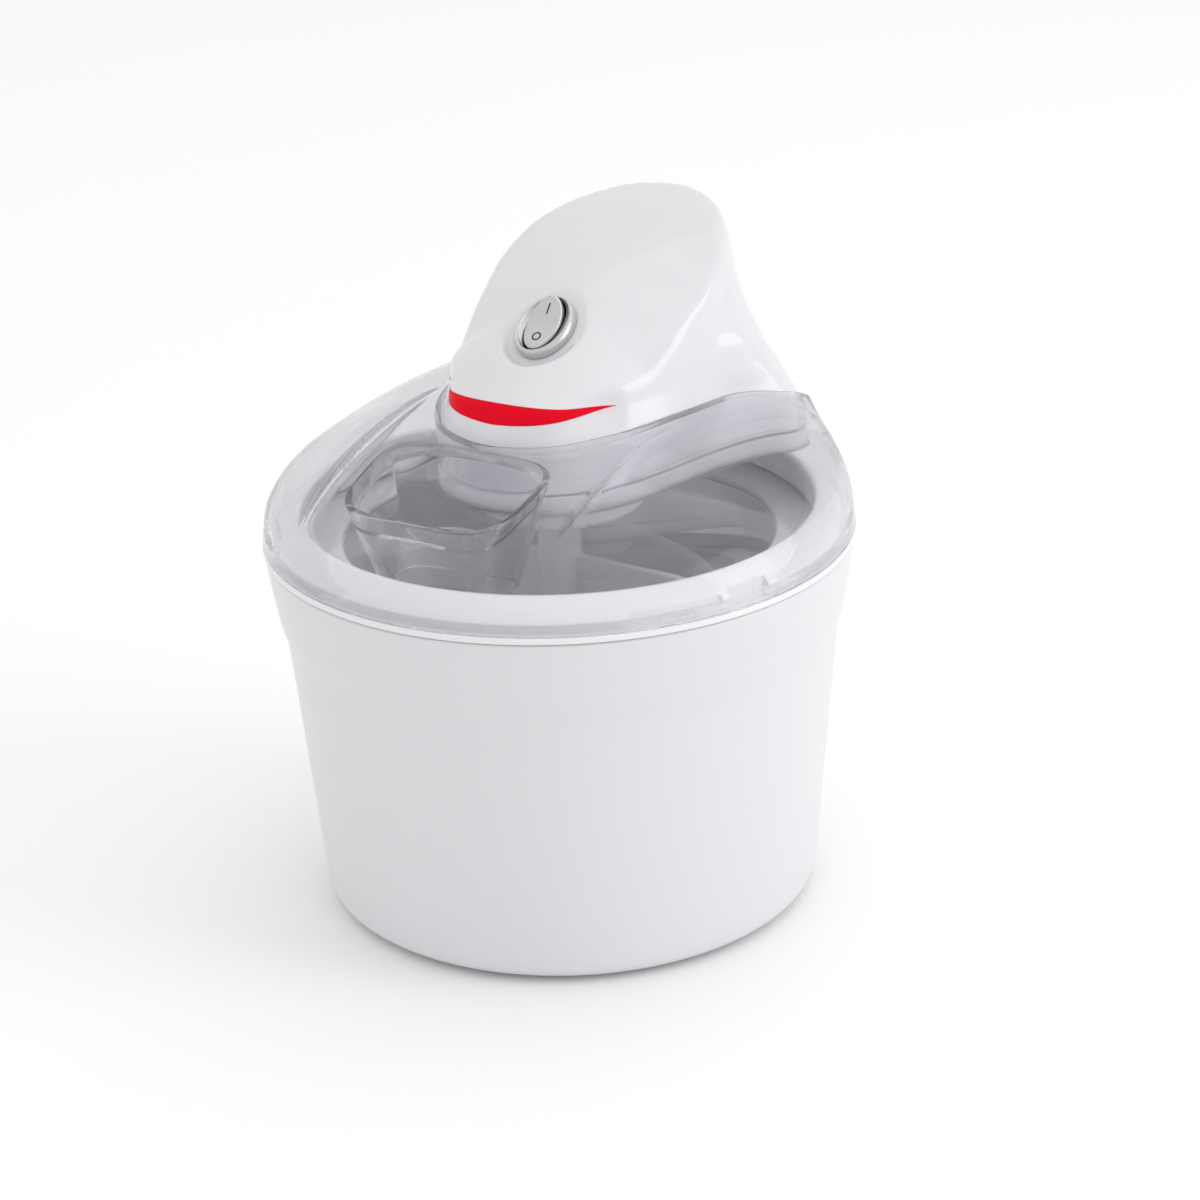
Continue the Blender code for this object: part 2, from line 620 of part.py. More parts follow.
def make_case_screws():
    for i, (x, y) in enumerate(SCREW_PLACES):
        profile = [(0, 189), (1.4, 189), (1.9, 187), (1.9, 175.6), (3.4, 175.6), (3.4, 173.2), (0, 173.2)]
        turned(f"case_screw_{i + 1}", profile, "steel", (x, y), 12)
    for i, (x, y) in enumerate(POST_PLACES):
        top = PLATE_Z + 2.35
        profile = [(0, top + 1.8), (2.7, top + 1.5), (2.7, top), (1.3, top), (1.3, 178), (0, 178)]
        turned(f"plate_screw_{i + 1}", profile, "steel", (x, y), 12)


def make_trim():
    trim = motor_form("red_trim", -1.3, 192, "red", PARTS)
    boolean(trim, motor_form("trim_inside", -GAP, 190, None, TOOLS))
    rings = []
    for i in range(15):
        part = -1 + 2 * (i + 0.15) / 14.3
        low, high = 195.6 + 4.2 * abs(part) ** 1.3, 202.3 - 2.5 * part * part
        near, far = around(68 * part, 24), around(68 * part, 56)
        rings.append([(*near, low), (*near, high), (*far, high), (*far, low)])
    boolean(trim, loft("crescent", rings, None, TOOLS), "INTERSECT")


# ---------------------------------------------------------------- switch
def make_switch():
    opening = oval(7.1, 12.0)
    ring = [(0, 1.6), (9.9, 1.6), (10.9, 0.9), (BEZEL_HALF, -0.4), (BEZEL_HALF, -2.2), (0, -2.2)]
    bezel = stretched(turned("switch_bezel", ring, "silver", steps=32))
    boolean(bezel, plate("bezel_opening", opening, -5, 5, None, TOOLS))
    on_switch(bezel)
    body = stretched(rod("switch_body", HOLE_HALF - GAP, -19, -2.6, "black", steps=32))
    boolean(body, plate("body_pocket", opening, -6.8, 2, None, TOOLS))
    on_switch(body)
    for name in ("bezel_opening", "body_pocket"):
        on_switch(bpy.data.objects[name])
    side = [(-11.3, -1.4), (11.1, -1.4), (10.7, 4.2), (0, 1.1), (-11.3, 0.9)]
    rocker = plate("rocker", oval(6.6, 11.2), -1.4, 5.0, "silver")
    cutter = plate("rocker_side", [(y, z) for y, z in side], -9, 9, None, TOOLS)
    cutter.data.transform(Matrix(((0, 0, 1, 0), (1, 0, 0, 0), (0, 1, 0, 0), (0, 0, 0, 1))))
    boolean(rocker, cutter, "INTERSECT")
    on_switch(rocker)
    on_switch(cutter)


# ---------------------------------------------------------------- gear train
def gear_outline(teeth, turn=0.0):
    """A spur gear of straight-flanked teeth; one tooth points along +Y turned by `turn` degrees."""
    pitch = GEAR_MODULE * teeth / 2
    outer, root = pitch + 0.9 * GEAR_MODULE, pitch - 1.2 * GEAR_MODULE
    width = 2 * math.pi / teeth
    points = []
    for i in range(teeth):
        middle = math.pi / 2 + math.radians(turn) + i * width
        for shift, radius in ((-0.30, root), (-0.11, outer), (0.11, outer), (0.30, root)):
            a = middle + shift * width
            points.append((radius * math.cos(a), radius * math.sin(a)))
    return points


def gear(name, teeth, low, high, look, at, turn=0.0, group=None):
    outline = [(x + at[0], y + at[1]) for x, y in gear_outline(teeth, turn)]
    return plate(name, outline, low, high, look, group)


def make_gears():
    output = gear("output_gear", TEETH_OUTPUT, 171, 177.5, "gear", (0, 0))
    boolean(output, rod("output_bore", 4.35, 160, 190, None, steps=20, group=TOOLS))
    profile = [(0, 189.6), (3.2, 189.6), (3.2, 178.5), (4.0, 178.5), (4.0, 164.6), (0, 164.6)]
    shaft = turned("drive_shaft", profile, "steel", steps=20)
    tip = block("drive_square", (-3, -3, 153), (3, 3, 167), None, group=TOOLS)
    tip.rotation_euler.z = math.radians(PADDLE_TURN - 90)
    boolean(shaft, tip, "UNION")
    idler = gear("idler_gear", TEETH_IDLER, 179, 184, "gear", (0, IDLER_Y))
    boolean(idler, gear("idler_small", TEETH_SMALL, 171, 179.5, None, (0, IDLER_Y), 15, TOOLS), "UNION")
    boolean(idler, rod("idler_bore", 2.0, 160, 190, None, (0, IDLER_Y), 12, TOOLS))
    rod("idler_axle", 1.6, BASE_FLOOR_Z + GAP, 189, "steel", (0, IDLER_Y), 12)
    pinion = gear("motor_pinion", TEETH_MOTOR, 178.6, 184.8, "brass", (0, ROTOR_Y), 18 + 180)
    boolean(pinion, rod("pinion_bore", 1.85, 160, 190, None, (0, ROTOR_Y), 12, TOOLS))
    put_origin(idler, (0, IDLER_Y, 0))
    put_origin(pinion, (0, ROTOR_Y, 0))


def make_motor():
    outline = [(-11, -33), (11, -33), (33, 44), (33, 56), (-33, 56), (-33, 44)]
    bridge_plate = plate("gear_plate", outline, PLATE_Z, PLATE_Z + 2, "steel")
    for i, (radius, x, y) in enumerate([(3.6, 0, 0), (2.0, 0, IDLER_Y), (3.2, 0, ROTOR_Y)]
                                       + [(1.7, x, y) for x, y in POST_PLACES]):
        boolean(bridge_plate, rod(f"plate_hole_{i}", radius, 180, 195, None, (x, y), 12, TOOLS))
    core = plate("stator_core", [(-19, 33.5), (19, 33.5), (19, 81), (-19, 81)], 190.2, 203, "steel")
    boolean(core, rod("rotor_hole", 12.2, 180, 215, None, (0, ROTOR_Y), 24, TOOLS))
    boolean(core, block("core_window", (-11, 61.8, 180), (11, 73, 215), None, group=TOOLS))
    coil = block("stator_coil", (-10.5, 68.6, 186.5), (10.5, 85.4, 206.7), "copper", bevel=1.5)
    boolean(coil, block("coil_hole", (-20, 72.6, 189.8), (20, 81.4, 203.4), None, group=TOOLS))
    magnet = rod("rotor_magnet", 11.2, 190.4, 202.8, "ferrite", (0, ROTOR_Y), 24)
    boolean(magnet, rod("magnet_bore", 1.85, 180, 215, None, (0, ROTOR_Y), 12, TOOLS))
    rod("rotor_shaft", 1.5, 176, 209, "steel", (0, ROTOR_Y), 12)
    bearing = block("rotor_bracket", (-18.5, 41, 204.6), (18.5, 53, 206.6), "steel", bevel=0.5)
    boolean(bearing, rod("bearing_hole", 1.85, 195, 215, None, (0, ROTOR_Y), 12, TOOLS))
    block("terminal_block", (-9, 56, 208.5), (9, 68, 217), "grey", bevel=1.0)
    gland = rod("cord_inlet", 5.0, -4.5, 5.5, "rubber", steps=16)
    boolean(gland, rod("cord_bore", 3.3, -20, 20, None, steps=12, group=TOOLS))
    for name in ("cord_inlet", "cord_bore"):
        made = bpy.data.objects[name]
        made.location = Vector((0, 96, INLET_Z)) * MM
        made.rotation_euler.x = math.radians(90)


EDGE = lid_edge()
make_housing()
make_bowl()
make_rim_ring()
make_lid()
make_paddle()
make_cover()
make_base()
make_case_screws()
make_trim()
make_switch()
make_gears()
make_motor()
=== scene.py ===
"""Looks of the ice cream maker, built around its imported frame.

Lengths here are millimetres in the frame's own axes (front -Y, up +Z) and become metres in skin().
"""
import json
import math

import bmesh
import bpy
import numpy as np
from mathutils import Matrix, Vector


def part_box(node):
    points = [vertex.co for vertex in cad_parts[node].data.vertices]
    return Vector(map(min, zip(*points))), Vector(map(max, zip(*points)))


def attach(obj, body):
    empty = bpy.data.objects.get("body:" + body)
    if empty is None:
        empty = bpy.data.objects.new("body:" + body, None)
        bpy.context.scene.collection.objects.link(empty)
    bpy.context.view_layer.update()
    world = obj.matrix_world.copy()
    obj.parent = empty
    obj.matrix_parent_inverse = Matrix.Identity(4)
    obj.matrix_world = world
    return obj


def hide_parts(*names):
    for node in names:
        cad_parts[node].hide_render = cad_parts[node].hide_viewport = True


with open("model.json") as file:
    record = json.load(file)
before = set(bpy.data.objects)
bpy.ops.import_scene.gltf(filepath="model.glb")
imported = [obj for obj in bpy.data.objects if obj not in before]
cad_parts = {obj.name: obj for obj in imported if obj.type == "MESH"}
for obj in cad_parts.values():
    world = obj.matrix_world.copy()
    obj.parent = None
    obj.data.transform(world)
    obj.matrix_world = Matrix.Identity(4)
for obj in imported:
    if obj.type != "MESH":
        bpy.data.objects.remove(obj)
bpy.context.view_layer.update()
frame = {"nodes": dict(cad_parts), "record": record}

MM = 0.001

# ---------------------------------------------------------------- driving sizes (mm)


def low(node):
    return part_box(node)[0] / MM


def high(node):
    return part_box(node)[1] / MM


SEAM_Z = low("lid").z                  # lower edge of the clear lid
WELL_Z = high("lid_bushing").z + 0.2   # floor of the lid's well
CASE_LOW_Z = low("motor_base").z
CASE_SPLIT_Z = low("motor_cover").z    # seam between base and cover
TABS = [55, 175, 295]                  # middle of each lock tab, degrees from the front
UNLOCK = 16

LID_R, LID_Z, LID_WALL = 109.0, 150.0, 2.2
FRONT_RISE, BACK_RISE = 52.6, 42.8     # rise of the dome above LID_Z
PANEL_HALF = 46.0
STRAIGHT_SHARE = 0.2                   # part of the light that the lid lets through unbent
BEAD = 1.0                             # height of the raised lines along the panel's sides
LIP, WELL_GAP = 2.6, 0.8
CHUTE_HALF, CHUTE_BACK, CHUTE_FRONT = 37.0, -50.0, -96.0
CHUTE_FOOT_Z = low("lid").z + 2.0
SWITCH_Y, SWITCH_TILT = -4.5, math.radians(34)
SWITCH_STRETCH = 1.24                  # the switch and its dish are ovals, longer uphill than across
ROCKER_HALF, OPENING_HALF = (6.6, 11.2), (7.1, 12.0)           # across, then uphill
TRIM_HALF = 68                         # reach of the red crescent to each side, degrees from the front
TRIM_LOW, TRIM_HIGH = 195.6, 202.3     # its lower and upper edge at the front
MID_Y = 28.0                           # the motor unit's outlines are measured about this line
NOSE_FOOT, NOSE_TOP = (43.4, 42.9, 41.5), (42.9, 41.1, 37.0)   # straight ahead, at 30 and at 60 degrees
SECTIONS = {
    166.0: [(42.5, -2), (48, 23), (57.8, 50), (67.2, 66), (42, 88), (0, 98)],
    172.0: [(43.5, -3), (50, 20), (60, 46), (67.4, 67), (46, 87), (0, 100.5)],
    182.0: [(43, -4), (50, 18), (56, 42), (65.5, 67), (44, 86), (0, 97.5)],
    190.0: [(43, -5), (48.5, 16), (51.5, 37), (61, 64.5), (41, 83), (0, 95)],
    196.0: [(40, -8), (46, 14), (51, 35), (59, 62.5), (39.5, 80), (0, 93.5)],
    201.0: [(38.5, -9), (45, 13), (50.5, 34), (56.5, 60), (38, 78), (0, 92.5)],
    210.0: [(38.5, -9), (43.5, 11), (49.5, 33), (54, 56), (36, 76), (0, 91.5)],
    220.0: [(40, -8), (44, 18), (47, 42), (47.5, 58), (32, 76), (0, 91)],
    230.0: [(40.5, -8), (45, 22), (46, 42), (42.5, 61), (29, 78), (0, 90.5)],
    240.0: [(40.5, -8), (44, 22), (44, 44), (38.5, 64), (25, 81), (0, 90.5)],
    254.0: [(39.5, -8), (41, 20), (38.5, 42), (33, 65), (19, 83), (0, 90)],
}
SPINE = [(-45.5, 189), (-38, 202), (-22, 212), (-4, 222), (16, 232), (36, 239.5), (68, 248.5),
         (84, 251.5), (104, 252)]
EDGE_HEIGHTS = [(0, 187.7), (20, 188.8), (40, 190), (60, 191), (80, 190.8), (100, 190), (110, 189),
                (116, 187), (122, 181.5), (130, 177.5), (145, 174), (160, 172), (180, 171)]
CROWN = [(-45, 11), (-15, 13), (0, 16.5), (21, 10.3), (40, 6.4), (56, 3.4), (104, 2.8)]

BODY_OF = {node: body for body, nodes in frame["record"]["behaviour"]["bodies"].items() for node in nodes}
SLOT_OF = {part["node"]: part["material_slot"] for part in frame["record"]["subparts"]}


# ---------------------------------------------------------------- meshes
def skin(name, rows, around=True, closed=False, sharp=35):
    """A mesh through rows of points. A row of one point closes an end; `closed` joins last to first."""
    points, index = [], []
    width = max(len(row) for row in rows)
    for row in rows:
        start = len(points)
        points.extend([tuple(p) for p in row])
        index.append([start + (i if len(row) > 1 else 0) for i in range(width)])
    if closed:
        index.append(index[0])
    faces = []
    for above, below in zip(index, index[1:]):
        for i in range(width if around else width - 1):
            j = (i + 1) % width
            face = [above[i], above[j], below[j], below[i]]
            face = [v for k, v in enumerate(face) if v not in face[:k]]
            if len(face) > 2:
                faces.append(face)
    mesh = bpy.data.meshes.new(name)
    mesh.from_pydata([Vector(p) * MM for p in points], [], faces)
    work = bmesh.new()
    work.from_mesh(mesh)
    bmesh.ops.recalc_face_normals(work, faces=work.faces)
    work.to_mesh(mesh)
    work.free()
    piece = bpy.data.objects.new(name, mesh)
    bpy.context.scene.collection.objects.link(piece)
    return shade(piece, sharp)


def shade(piece, sharp=35):
    piece.data.shade_smooth()
    piece.data.set_sharp_from_angle(angle=math.radians(sharp))
    return piece


def settle(piece, sharp=35):
    """Turn a piece's modifiers into its mesh."""
    graph = bpy.context.evaluated_depsgraph_get()
    mesh = bpy.data.meshes.new_from_object(piece.evaluated_get(graph))
    piece.modifiers.clear()
    piece.data = mesh
    return shade(piece, sharp)


def combine(piece, tool, operation="DIFFERENCE", sharp=35, solver="EXACT"):
    """Cut a tool out of a piece, or join it on, and drop the tool."""
    step = piece.modifiers.new("combine", "BOOLEAN")
    step.operation = operation
    step.object = tool
    step.solver = solver
    settle(piece, sharp)
    bpy.data.objects.remove(tool)
    return piece


def rounded(piece, width, segments=3, angle=30, sharp=35):
    step = piece.modifiers.new("edges", "BEVEL")
    step.width = width * MM
    step.segments = segments
    step.limit_method = "ANGLE"
    step.angle_limit = math.radians(angle)
    step.harden_normals = False
    return settle(piece, sharp)


def walled(piece, thickness, sharp=35):
    step = piece.modifiers.new("wall", "SOLIDIFY")
    step.thickness = thickness * MM
    step.offset = -1
    step.use_even_offset = True
    return settle(piece, sharp)


def facing_out(piece, face, direction):
    """Make one face, and with it the whole open surface, look along a direction."""
    if piece.data.polygons[face].normal.dot(Vector(direction)) < 0:
        piece.data.flip_normals()
    return piece


def fillet(profile, radius, closed=False, parts=4):
    """A profile whose corners are rounded."""
    count = len(profile)
    made = []
    for i, corner in enumerate(profile):
        corner = Vector(corner)
        if not closed and i in (0, count - 1):
            made.append(corner)
            continue
        before = Vector(profile[i - 1]) - corner
        after = Vector(profile[(i + 1) % count]) - corner
        reach = min(radius, before.length * 0.45, after.length * 0.45)
        start, end = corner + before.normalized() * reach, corner + after.normalized() * reach
        for k in range(parts + 1):
            t = k / parts
            made.append(start * (1 - t) ** 2 + corner * 2 * t * (1 - t) + end * t * t)
    return made


def lathe(name, profile, at=(0, 0), steps=144, closed=False, sharp=35):
    """A solid turned about an upright axis from (radius, height) points."""
    turns = np.arange(steps) * 2 * math.pi / steps
    rows = []
    for radius, height in profile:
        if radius < 0.01:
            rows.append([(at[0], at[1], height)])
        else:
            rows.append([(at[0] + radius * math.cos(a), at[1] + radius * math.sin(a), height)
                         for a in turns])
    return skin(name, rows, closed=closed, sharp=sharp)


def half_section(node, at=(0, 0)):
    """A turned CAD node's (radius, height) outline, read from its section at +X, and whether it closes."""
    places, links = {}, {}
    mesh = frame["nodes"][node].data
    keys = []
    for vertex in mesh.vertices:
        x, y, z = vertex.co / MM
        inside = abs(y - at[1]) < 0.02 and x - at[0] > -0.02
        key = (round(x - at[0], 2), round(z, 2)) if inside else None
        keys.append(key)
        if inside:
            places[key] = (max(x - at[0], 0.0), z)
            links.setdefault(key, set())
    for edge in mesh.edges:
        a, b = keys[edge.vertices[0]], keys[edge.vertices[1]]
        if a and b and a != b:
            links[a].add(b)
            links[b].add(a)
    ends = sorted(k for k in links if len(links[k]) == 1)
    path = [ends[-1] if ends else max(links)]
    while True:
        onward = [k for k in sorted(links[path[-1]]) if k not in path]
        if not onward:
            break
        path.append(onward[0])
    outline = [places[k] for k in path]
    if ends:
        outline = [(0, outline[0][1])] + [p for p in outline if p[0] > 0.5] + [(0, outline[-1][1])]
    return outline, not ends


def box_piece(name, lowest, highest):
    (x0, y0, z0), (x1, y1, z1) = lowest, highest
    rows = [[(x0, y0, z), (x1, y0, z), (x1, y1, z), (x0, y1, z)] for z in (z0, z1)]
    middle = ((x0 + x1) / 2, (y0 + y1) / 2)
    return skin(name, [[(*middle, z0)]] + rows + [[(*middle, z1)]], sharp=20)


def dress(piece, material, *nodes, body=None, slot=None):
    """Give a piece its material, the body it rides on and the CAD nodes it stands for."""
    piece.data.materials.clear()
    piece.data.materials.append(material)
    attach(piece, body or BODY_OF[nodes[0]])
    if nodes:
        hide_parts(*nodes)
    return piece


# ---------------------------------------------------------------- materials
class Nodes:
    """A new material, with short ways to add and join its nodes."""

    def __init__(self, name, colour, roughness, **settings):
        self.material = bpy.data.materials.new(name)
        self.material.use_nodes = True
        self.tree = self.material.node_tree
        self.shader = self.tree.nodes["Principled BSDF"]
        self.shader.inputs["Base Color"].default_value = (*colour, 1)
        self.shader.inputs["Roughness"].default_value = roughness
        for key, value in settings.items():
            self.shader.inputs[key.replace("_", " ")].default_value = value
        self.place = self.add("ShaderNodeTexCoord").outputs["Object"]

    def add(self, kind, **settings):
        node = self.tree.nodes.new(kind)
        for key, value in settings.items():
            setattr(node, key, value)
        return node

    def join(self, start, end):
        self.tree.links.new(start, end)

    def noise(self, scale, detail=2.0, stretch=None):
        node = self.add("ShaderNodeTexNoise")
        node.inputs["Scale"].default_value = scale
        node.inputs["Detail"].default_value = detail
        place = self.place
        if stretch:
            mapping = self.add("ShaderNodeMapping")
            mapping.inputs["Scale"].default_value = stretch
            self.join(place, mapping.inputs["Vector"])
            place = mapping.outputs["Vector"]
        self.join(place, node.inputs["Vector"])
        return node.outputs["Fac"]

    def spread(self, value, start, end, low=0.3, high=0.7):
        node = self.add("ShaderNodeMapRange")
        for key, number in (("From Min", low), ("From Max", high), ("To Min", start), ("To Max", end)):
            node.inputs[key].default_value = number
        self.join(value, node.inputs["Value"])
        return node.outputs["Result"]

    def blend(self, value, first, second):
        node = self.add("ShaderNodeMix", data_type="RGBA")
        node.inputs["A"].default_value = (*first, 1)
        node.inputs["B"].default_value = (*second, 1)
        self.join(value, node.inputs["Factor"])
        return node.outputs["Result"]

    def colour(self, value, first, second):
        self.join(self.blend(value, first, second), self.shader.inputs["Base Color"])

    def rough(self, value, start, end):
        self.join(self.spread(value, start, end), self.shader.inputs["Roughness"])

    def bump(self, value, distance, strength=1.0):
        node = self.add("ShaderNodeBump")
        node.inputs["Distance"].default_value = distance * MM
        node.inputs["Strength"].default_value = strength
        self.join(value, node.inputs["Height"])
        self.join(node.outputs["Normal"], self.shader.inputs["Normal"])


def tinted(colour, share):
    return tuple(min(c * share, 1) for c in colour)


def moulded(name, colour, rough=(0.2, 0.3), grain=1400.0, depth=0.0015, **settings):
    """Moulded plastic: faint drift in colour, uneven gloss and a fine skin."""
    made = Nodes(name, colour, rough[0], **settings)
    made.colour(made.noise(9.0), tinted(colour, 0.994), tinted(colour, 1.004))
    made.rough(made.noise(26.0, 4.0), *rough)
    made.bump(made.noise(grain, 3.0), depth)
    return made.material


def clear_plastic():
    """Clear plastic that lamps shine through, so that what is under it is lit."""
    # Painted shade: this grey tint goes beyond the plastic's own faint tint. It darkens what is seen through the lid,
    # standing in for a darker backdrop behind it.
    colour = (0.925, 0.93, 0.945)
    made = Nodes("clear_lid", colour, 0.02, Transmission_Weight=1.0, IOR=1.3)
    made.colour(made.noise(14.0), tinted(colour, 0.985), colour)
    made.rough(made.noise(40.0, 4.0), 0.01, 0.03)
    made.bump(made.noise(30.0, 1.0), 0.01)
    tint = made.add("ShaderNodeVolumeAbsorption")
    tint.inputs["Color"].default_value = (0.60, 0.63, 0.72, 1)
    tint.inputs["Density"].default_value = 9.0
    output = made.tree.nodes["Material Output"]
    made.join(tint.outputs["Volume"], output.inputs["Volume"])
    path = made.add("ShaderNodeLightPath")
    either = made.add("ShaderNodeMath", operation="MAXIMUM")
    made.join(path.outputs["Is Shadow Ray"], either.inputs[0])
    made.join(path.outputs["Is Diffuse Ray"], either.inputs[1])
    haze = made.add("ShaderNodeMath", operation="MAXIMUM")
    made.join(either.outputs["Value"], haze.inputs[0])
    haze.inputs[1].default_value = STRAIGHT_SHARE
    through = made.add("ShaderNodeBsdfTransparent")
    through.inputs["Color"].default_value = (0.985, 0.985, 0.99, 1)
    mix = made.add("ShaderNodeMixShader")
    made.join(haze.outputs["Value"], mix.inputs["Fac"])
    made.join(made.shader.outputs["BSDF"], mix.inputs[1])
    made.join(through.outputs["BSDF"], mix.inputs[2])
    made.join(mix.outputs["Shader"], output.inputs["Surface"])
    return made.material


def spun_metal(name, colour, rough, lines=2600.0, depth=0.01):
    """Metal with fine rings round its axis, as drawn or turned metal has."""
    made = Nodes(name, colour, rough[0], Metallic=1.0)
    rings = made.noise(1.0, 3.0, stretch=(6, 6, lines))
    made.colour(made.noise(30.0, 3.0), tinted(colour, 0.94), tinted(colour, 1.03))
    made.rough(rings, *rough)
    made.bump(rings, depth)
    return made.material


def flaked(name, colour, rough):
    """Silver lacquer: a metallic base with fine flakes."""
    made = Nodes(name, colour, rough[0], Metallic=0.85)
    flakes = made.noise(2600.0, 1.0)
    made.colour(flakes, tinted(colour, 0.82), tinted(colour, 1.12))
    made.rough(made.noise(900.0, 2.0), *rough)
    made.bump(flakes, 0.004)
    return made.material


def laminated():
    """Stacked motor sheet steel."""
    made = Nodes("laminated_steel", (0.42, 0.43, 0.45), 0.35, Metallic=1.0)
    sheets = made.noise(1.0, 0.0, stretch=(3, 3, 2000))
    made.colour(sheets, (0.25, 0.26, 0.28), (0.55, 0.56, 0.58))
    made.rough(made.noise(200.0, 3.0), 0.3, 0.55)
    made.bump(sheets, 0.08)
    return made.material


def wound():
    """Enamelled copper wire in neat turns."""
    made = Nodes("copper_wire", (0.62, 0.24, 0.09), 0.3, Metallic=0.9)
    turns = made.add("ShaderNodeTexWave", wave_type="BANDS", bands_direction="X")
    turns.inputs["Scale"].default_value = 260.0
    made.join(made.place, turns.inputs["Vector"])
    made.colour(turns.outputs["Fac"], (0.34, 0.11, 0.04), (0.75, 0.33, 0.14))
    made.rough(made.noise(120.0), 0.22, 0.4)
    made.bump(turns.outputs["Fac"], 0.12)
    return made.material


WHITE = (0.70, 0.70, 0.725)
LOOKS = {
    "housing_white": moulded("housing_white_abs", WHITE, (0.28, 0.32)),
    "cover_white": moulded("cover_white_abs", (0.70, 0.70, 0.725), (0.10, 0.16), Coat_Weight=0.2),
    "base_white": moulded("base_white_abs", WHITE, (0.28, 0.38)),
    # Painted light: the ring's white is set lighter than the housing's white to make up for the lid's painted shade
    # over it.
    "ring_white": moulded("ring_white_abs_painted_light", (0.79, 0.79, 0.80), (0.2, 0.28)),
    "bowl_white": moulded("bowl_white_pp", (0.72, 0.73, 0.74), (0.3, 0.42)),
    "paddle_white": moulded("paddle_white_pp", (0.72, 0.73, 0.74), (0.28, 0.4)),
    "bushing_acetal": moulded("boss_white_acetal", (0.74, 0.74, 0.75), (0.28, 0.4)),
    "gear_acetal": moulded("gear_acetal", (0.80, 0.78, 0.70), (0.3, 0.42), 1400.0, 0.01),
    "lid_clear": clear_plastic(),
    "bowl_aluminium": spun_metal("drawn_aluminium", (0.92, 0.92, 0.93), (0.42, 0.54), 2600.0, 0.003),
    "gel": moulded("frozen_gel", (0.35, 0.60, 0.80), (0.3, 0.6), 300.0, 0.2),
    "foot_rubber": moulded("foot_rubber", (0.42, 0.42, 0.43), (0.7, 0.9), 1600.0, 0.06),
    "gland_rubber": moulded("gland_rubber", (0.66, 0.66, 0.67), (0.55, 0.75), 1600.0, 0.04),
    "trim_red": moulded("trim_red", (0.76, 0.0, 0.016), (0.3, 0.4), Specular_IOR_Level=0.08),
    "switch_silver": flaked("silver_lacquer", (0.60, 0.61, 0.60), (0.26, 0.36)),
    "switch_black": moulded("black_nylon", (0.025, 0.025, 0.027), (0.35, 0.5), 1600.0, 0.02),
    "steel": spun_metal("turned_steel", (0.56, 0.57, 0.58), (0.22, 0.38), 1800.0, 0.02),
    "brass": spun_metal("machined_brass", (0.76, 0.56, 0.26), (0.2, 0.36), 1800.0, 0.02),
    "copper_winding": wound(),
    "ferrite": moulded("sintered_ferrite", (0.045, 0.045, 0.05), (0.5, 0.75), 2200.0, 0.05),
    "terminal_grey": moulded("terminal_nylon", (0.30, 0.31, 0.33), (0.4, 0.55)),
}


# ---------------------------------------------------------------- shapes of lid and motor unit
def ramp(start, end, value):
    part = np.clip((value - start) / (end - start), 0, 1)
    return part * part * (3 - 2 * part)


def lid_height(x, y):
    """Top of the clear lid: a dome, fuller at the back, with a flatter panel at the front."""
    radius = np.minimum(np.hypot(x, y) / LID_R, 1)
    turn = np.degrees(np.arctan2(np.abs(x), -y))
    front = FRONT_RISE * (1 - radius ** 1.27) ** 0.52
    back = BACK_RISE * (1 - radius ** 6.9) ** 0.61
    share = ramp(80, 150, turn)
    dome = LID_Z + front * (1 - share) + back * share
    panel = 187 + 0.29 * (y + 48) - 5 * (x / 50) ** 2
    side = ramp(PANEL_HALF + 2, PANEL_HALF + 6, np.abs(x))
    inner = -np.logaddexp(-dome / 1.2, -panel / 1.2) * 1.2
    bead = np.exp(-((np.abs(x) - PANEL_HALF - 5.5) / 2.0) ** 2) * ramp(0, 16, -y) * ramp(1, 8, LID_R - np.hypot(x, y))
    return inner * (1 - side) + dome * side + BEAD * bead


TURNS = np.linspace(-math.pi, math.pi, 721)        # from the front, positive towards +X
LEVELS = np.arange(158.0, 264.0, 1.0)


def curve_through(knots, parts):
    """Catmull-Rom points through knots, from the second to the last but one."""
    made = []
    for a, b, c, d in zip(knots, knots[1:], knots[2:], knots[3:]):
        for t in np.arange(parts) / parts:
            made.append((2 * b + (c - a) * t + (2 * a - 5 * b + 4 * c - d) * t * t
                         + (3 * b - 3 * c + d - a) * t ** 3) / 2)
    return np.array(made + [knots[-2]])


def outline_radii(flank, height):
    """Distance of an outline from the line x = 0, y = MID_Y, at each of TURNS."""
    slim = ramp(188, 199, height)
    radii = [foot + (top - foot) * slim for foot, top in zip(NOSE_FOOT, NOSE_TOP)]
    nose = [(r * math.sin(a), -r * math.cos(a)) for r, a in zip(radii, (0, math.pi / 6, math.pi / 3))]
    knots = [np.array(p, float) for p in nose + flank]
    mirror = np.array((-1, 1))
    loop = curve_through([knots[1] * mirror] + knots + [knots[-2] * mirror], 14)
    turn = np.arctan2(loop[:, 0], MID_Y - loop[:, 1])
    reach = np.hypot(loop[:, 0], MID_Y - loop[:, 1])
    return np.interp(np.abs(TURNS), turn, reach)


def smoothed(values, reach):
    """Values along the first axis, each averaged with its neighbours."""
    weight = np.exp(-0.5 * (np.arange(-6, 7) / reach) ** 2)
    padded = np.concatenate([values[:1]] * 6 + [values] + [values[-1:]] * 6)
    return sum(w * padded[i:i + len(values)] for i, w in enumerate(weight)) / weight.sum()


def radius_table():
    radii = np.array([outline_radii(SECTIONS[z], z) for z in sorted(SECTIONS)])
    table = np.array([np.interp(LEVELS, sorted(SECTIONS), radii[:, i]) for i in range(len(TURNS))]).T
    return smoothed(table, 2.2)


TABLE = radius_table()
FINE_Y = np.linspace(-60, 112, 345)
SPINE_LINE = smoothed(np.interp(FINE_Y, *zip(*SPINE)), 5.0)
CROWN_LINE = smoothed(np.interp(FINE_Y, *zip(*CROWN)), 5.0)


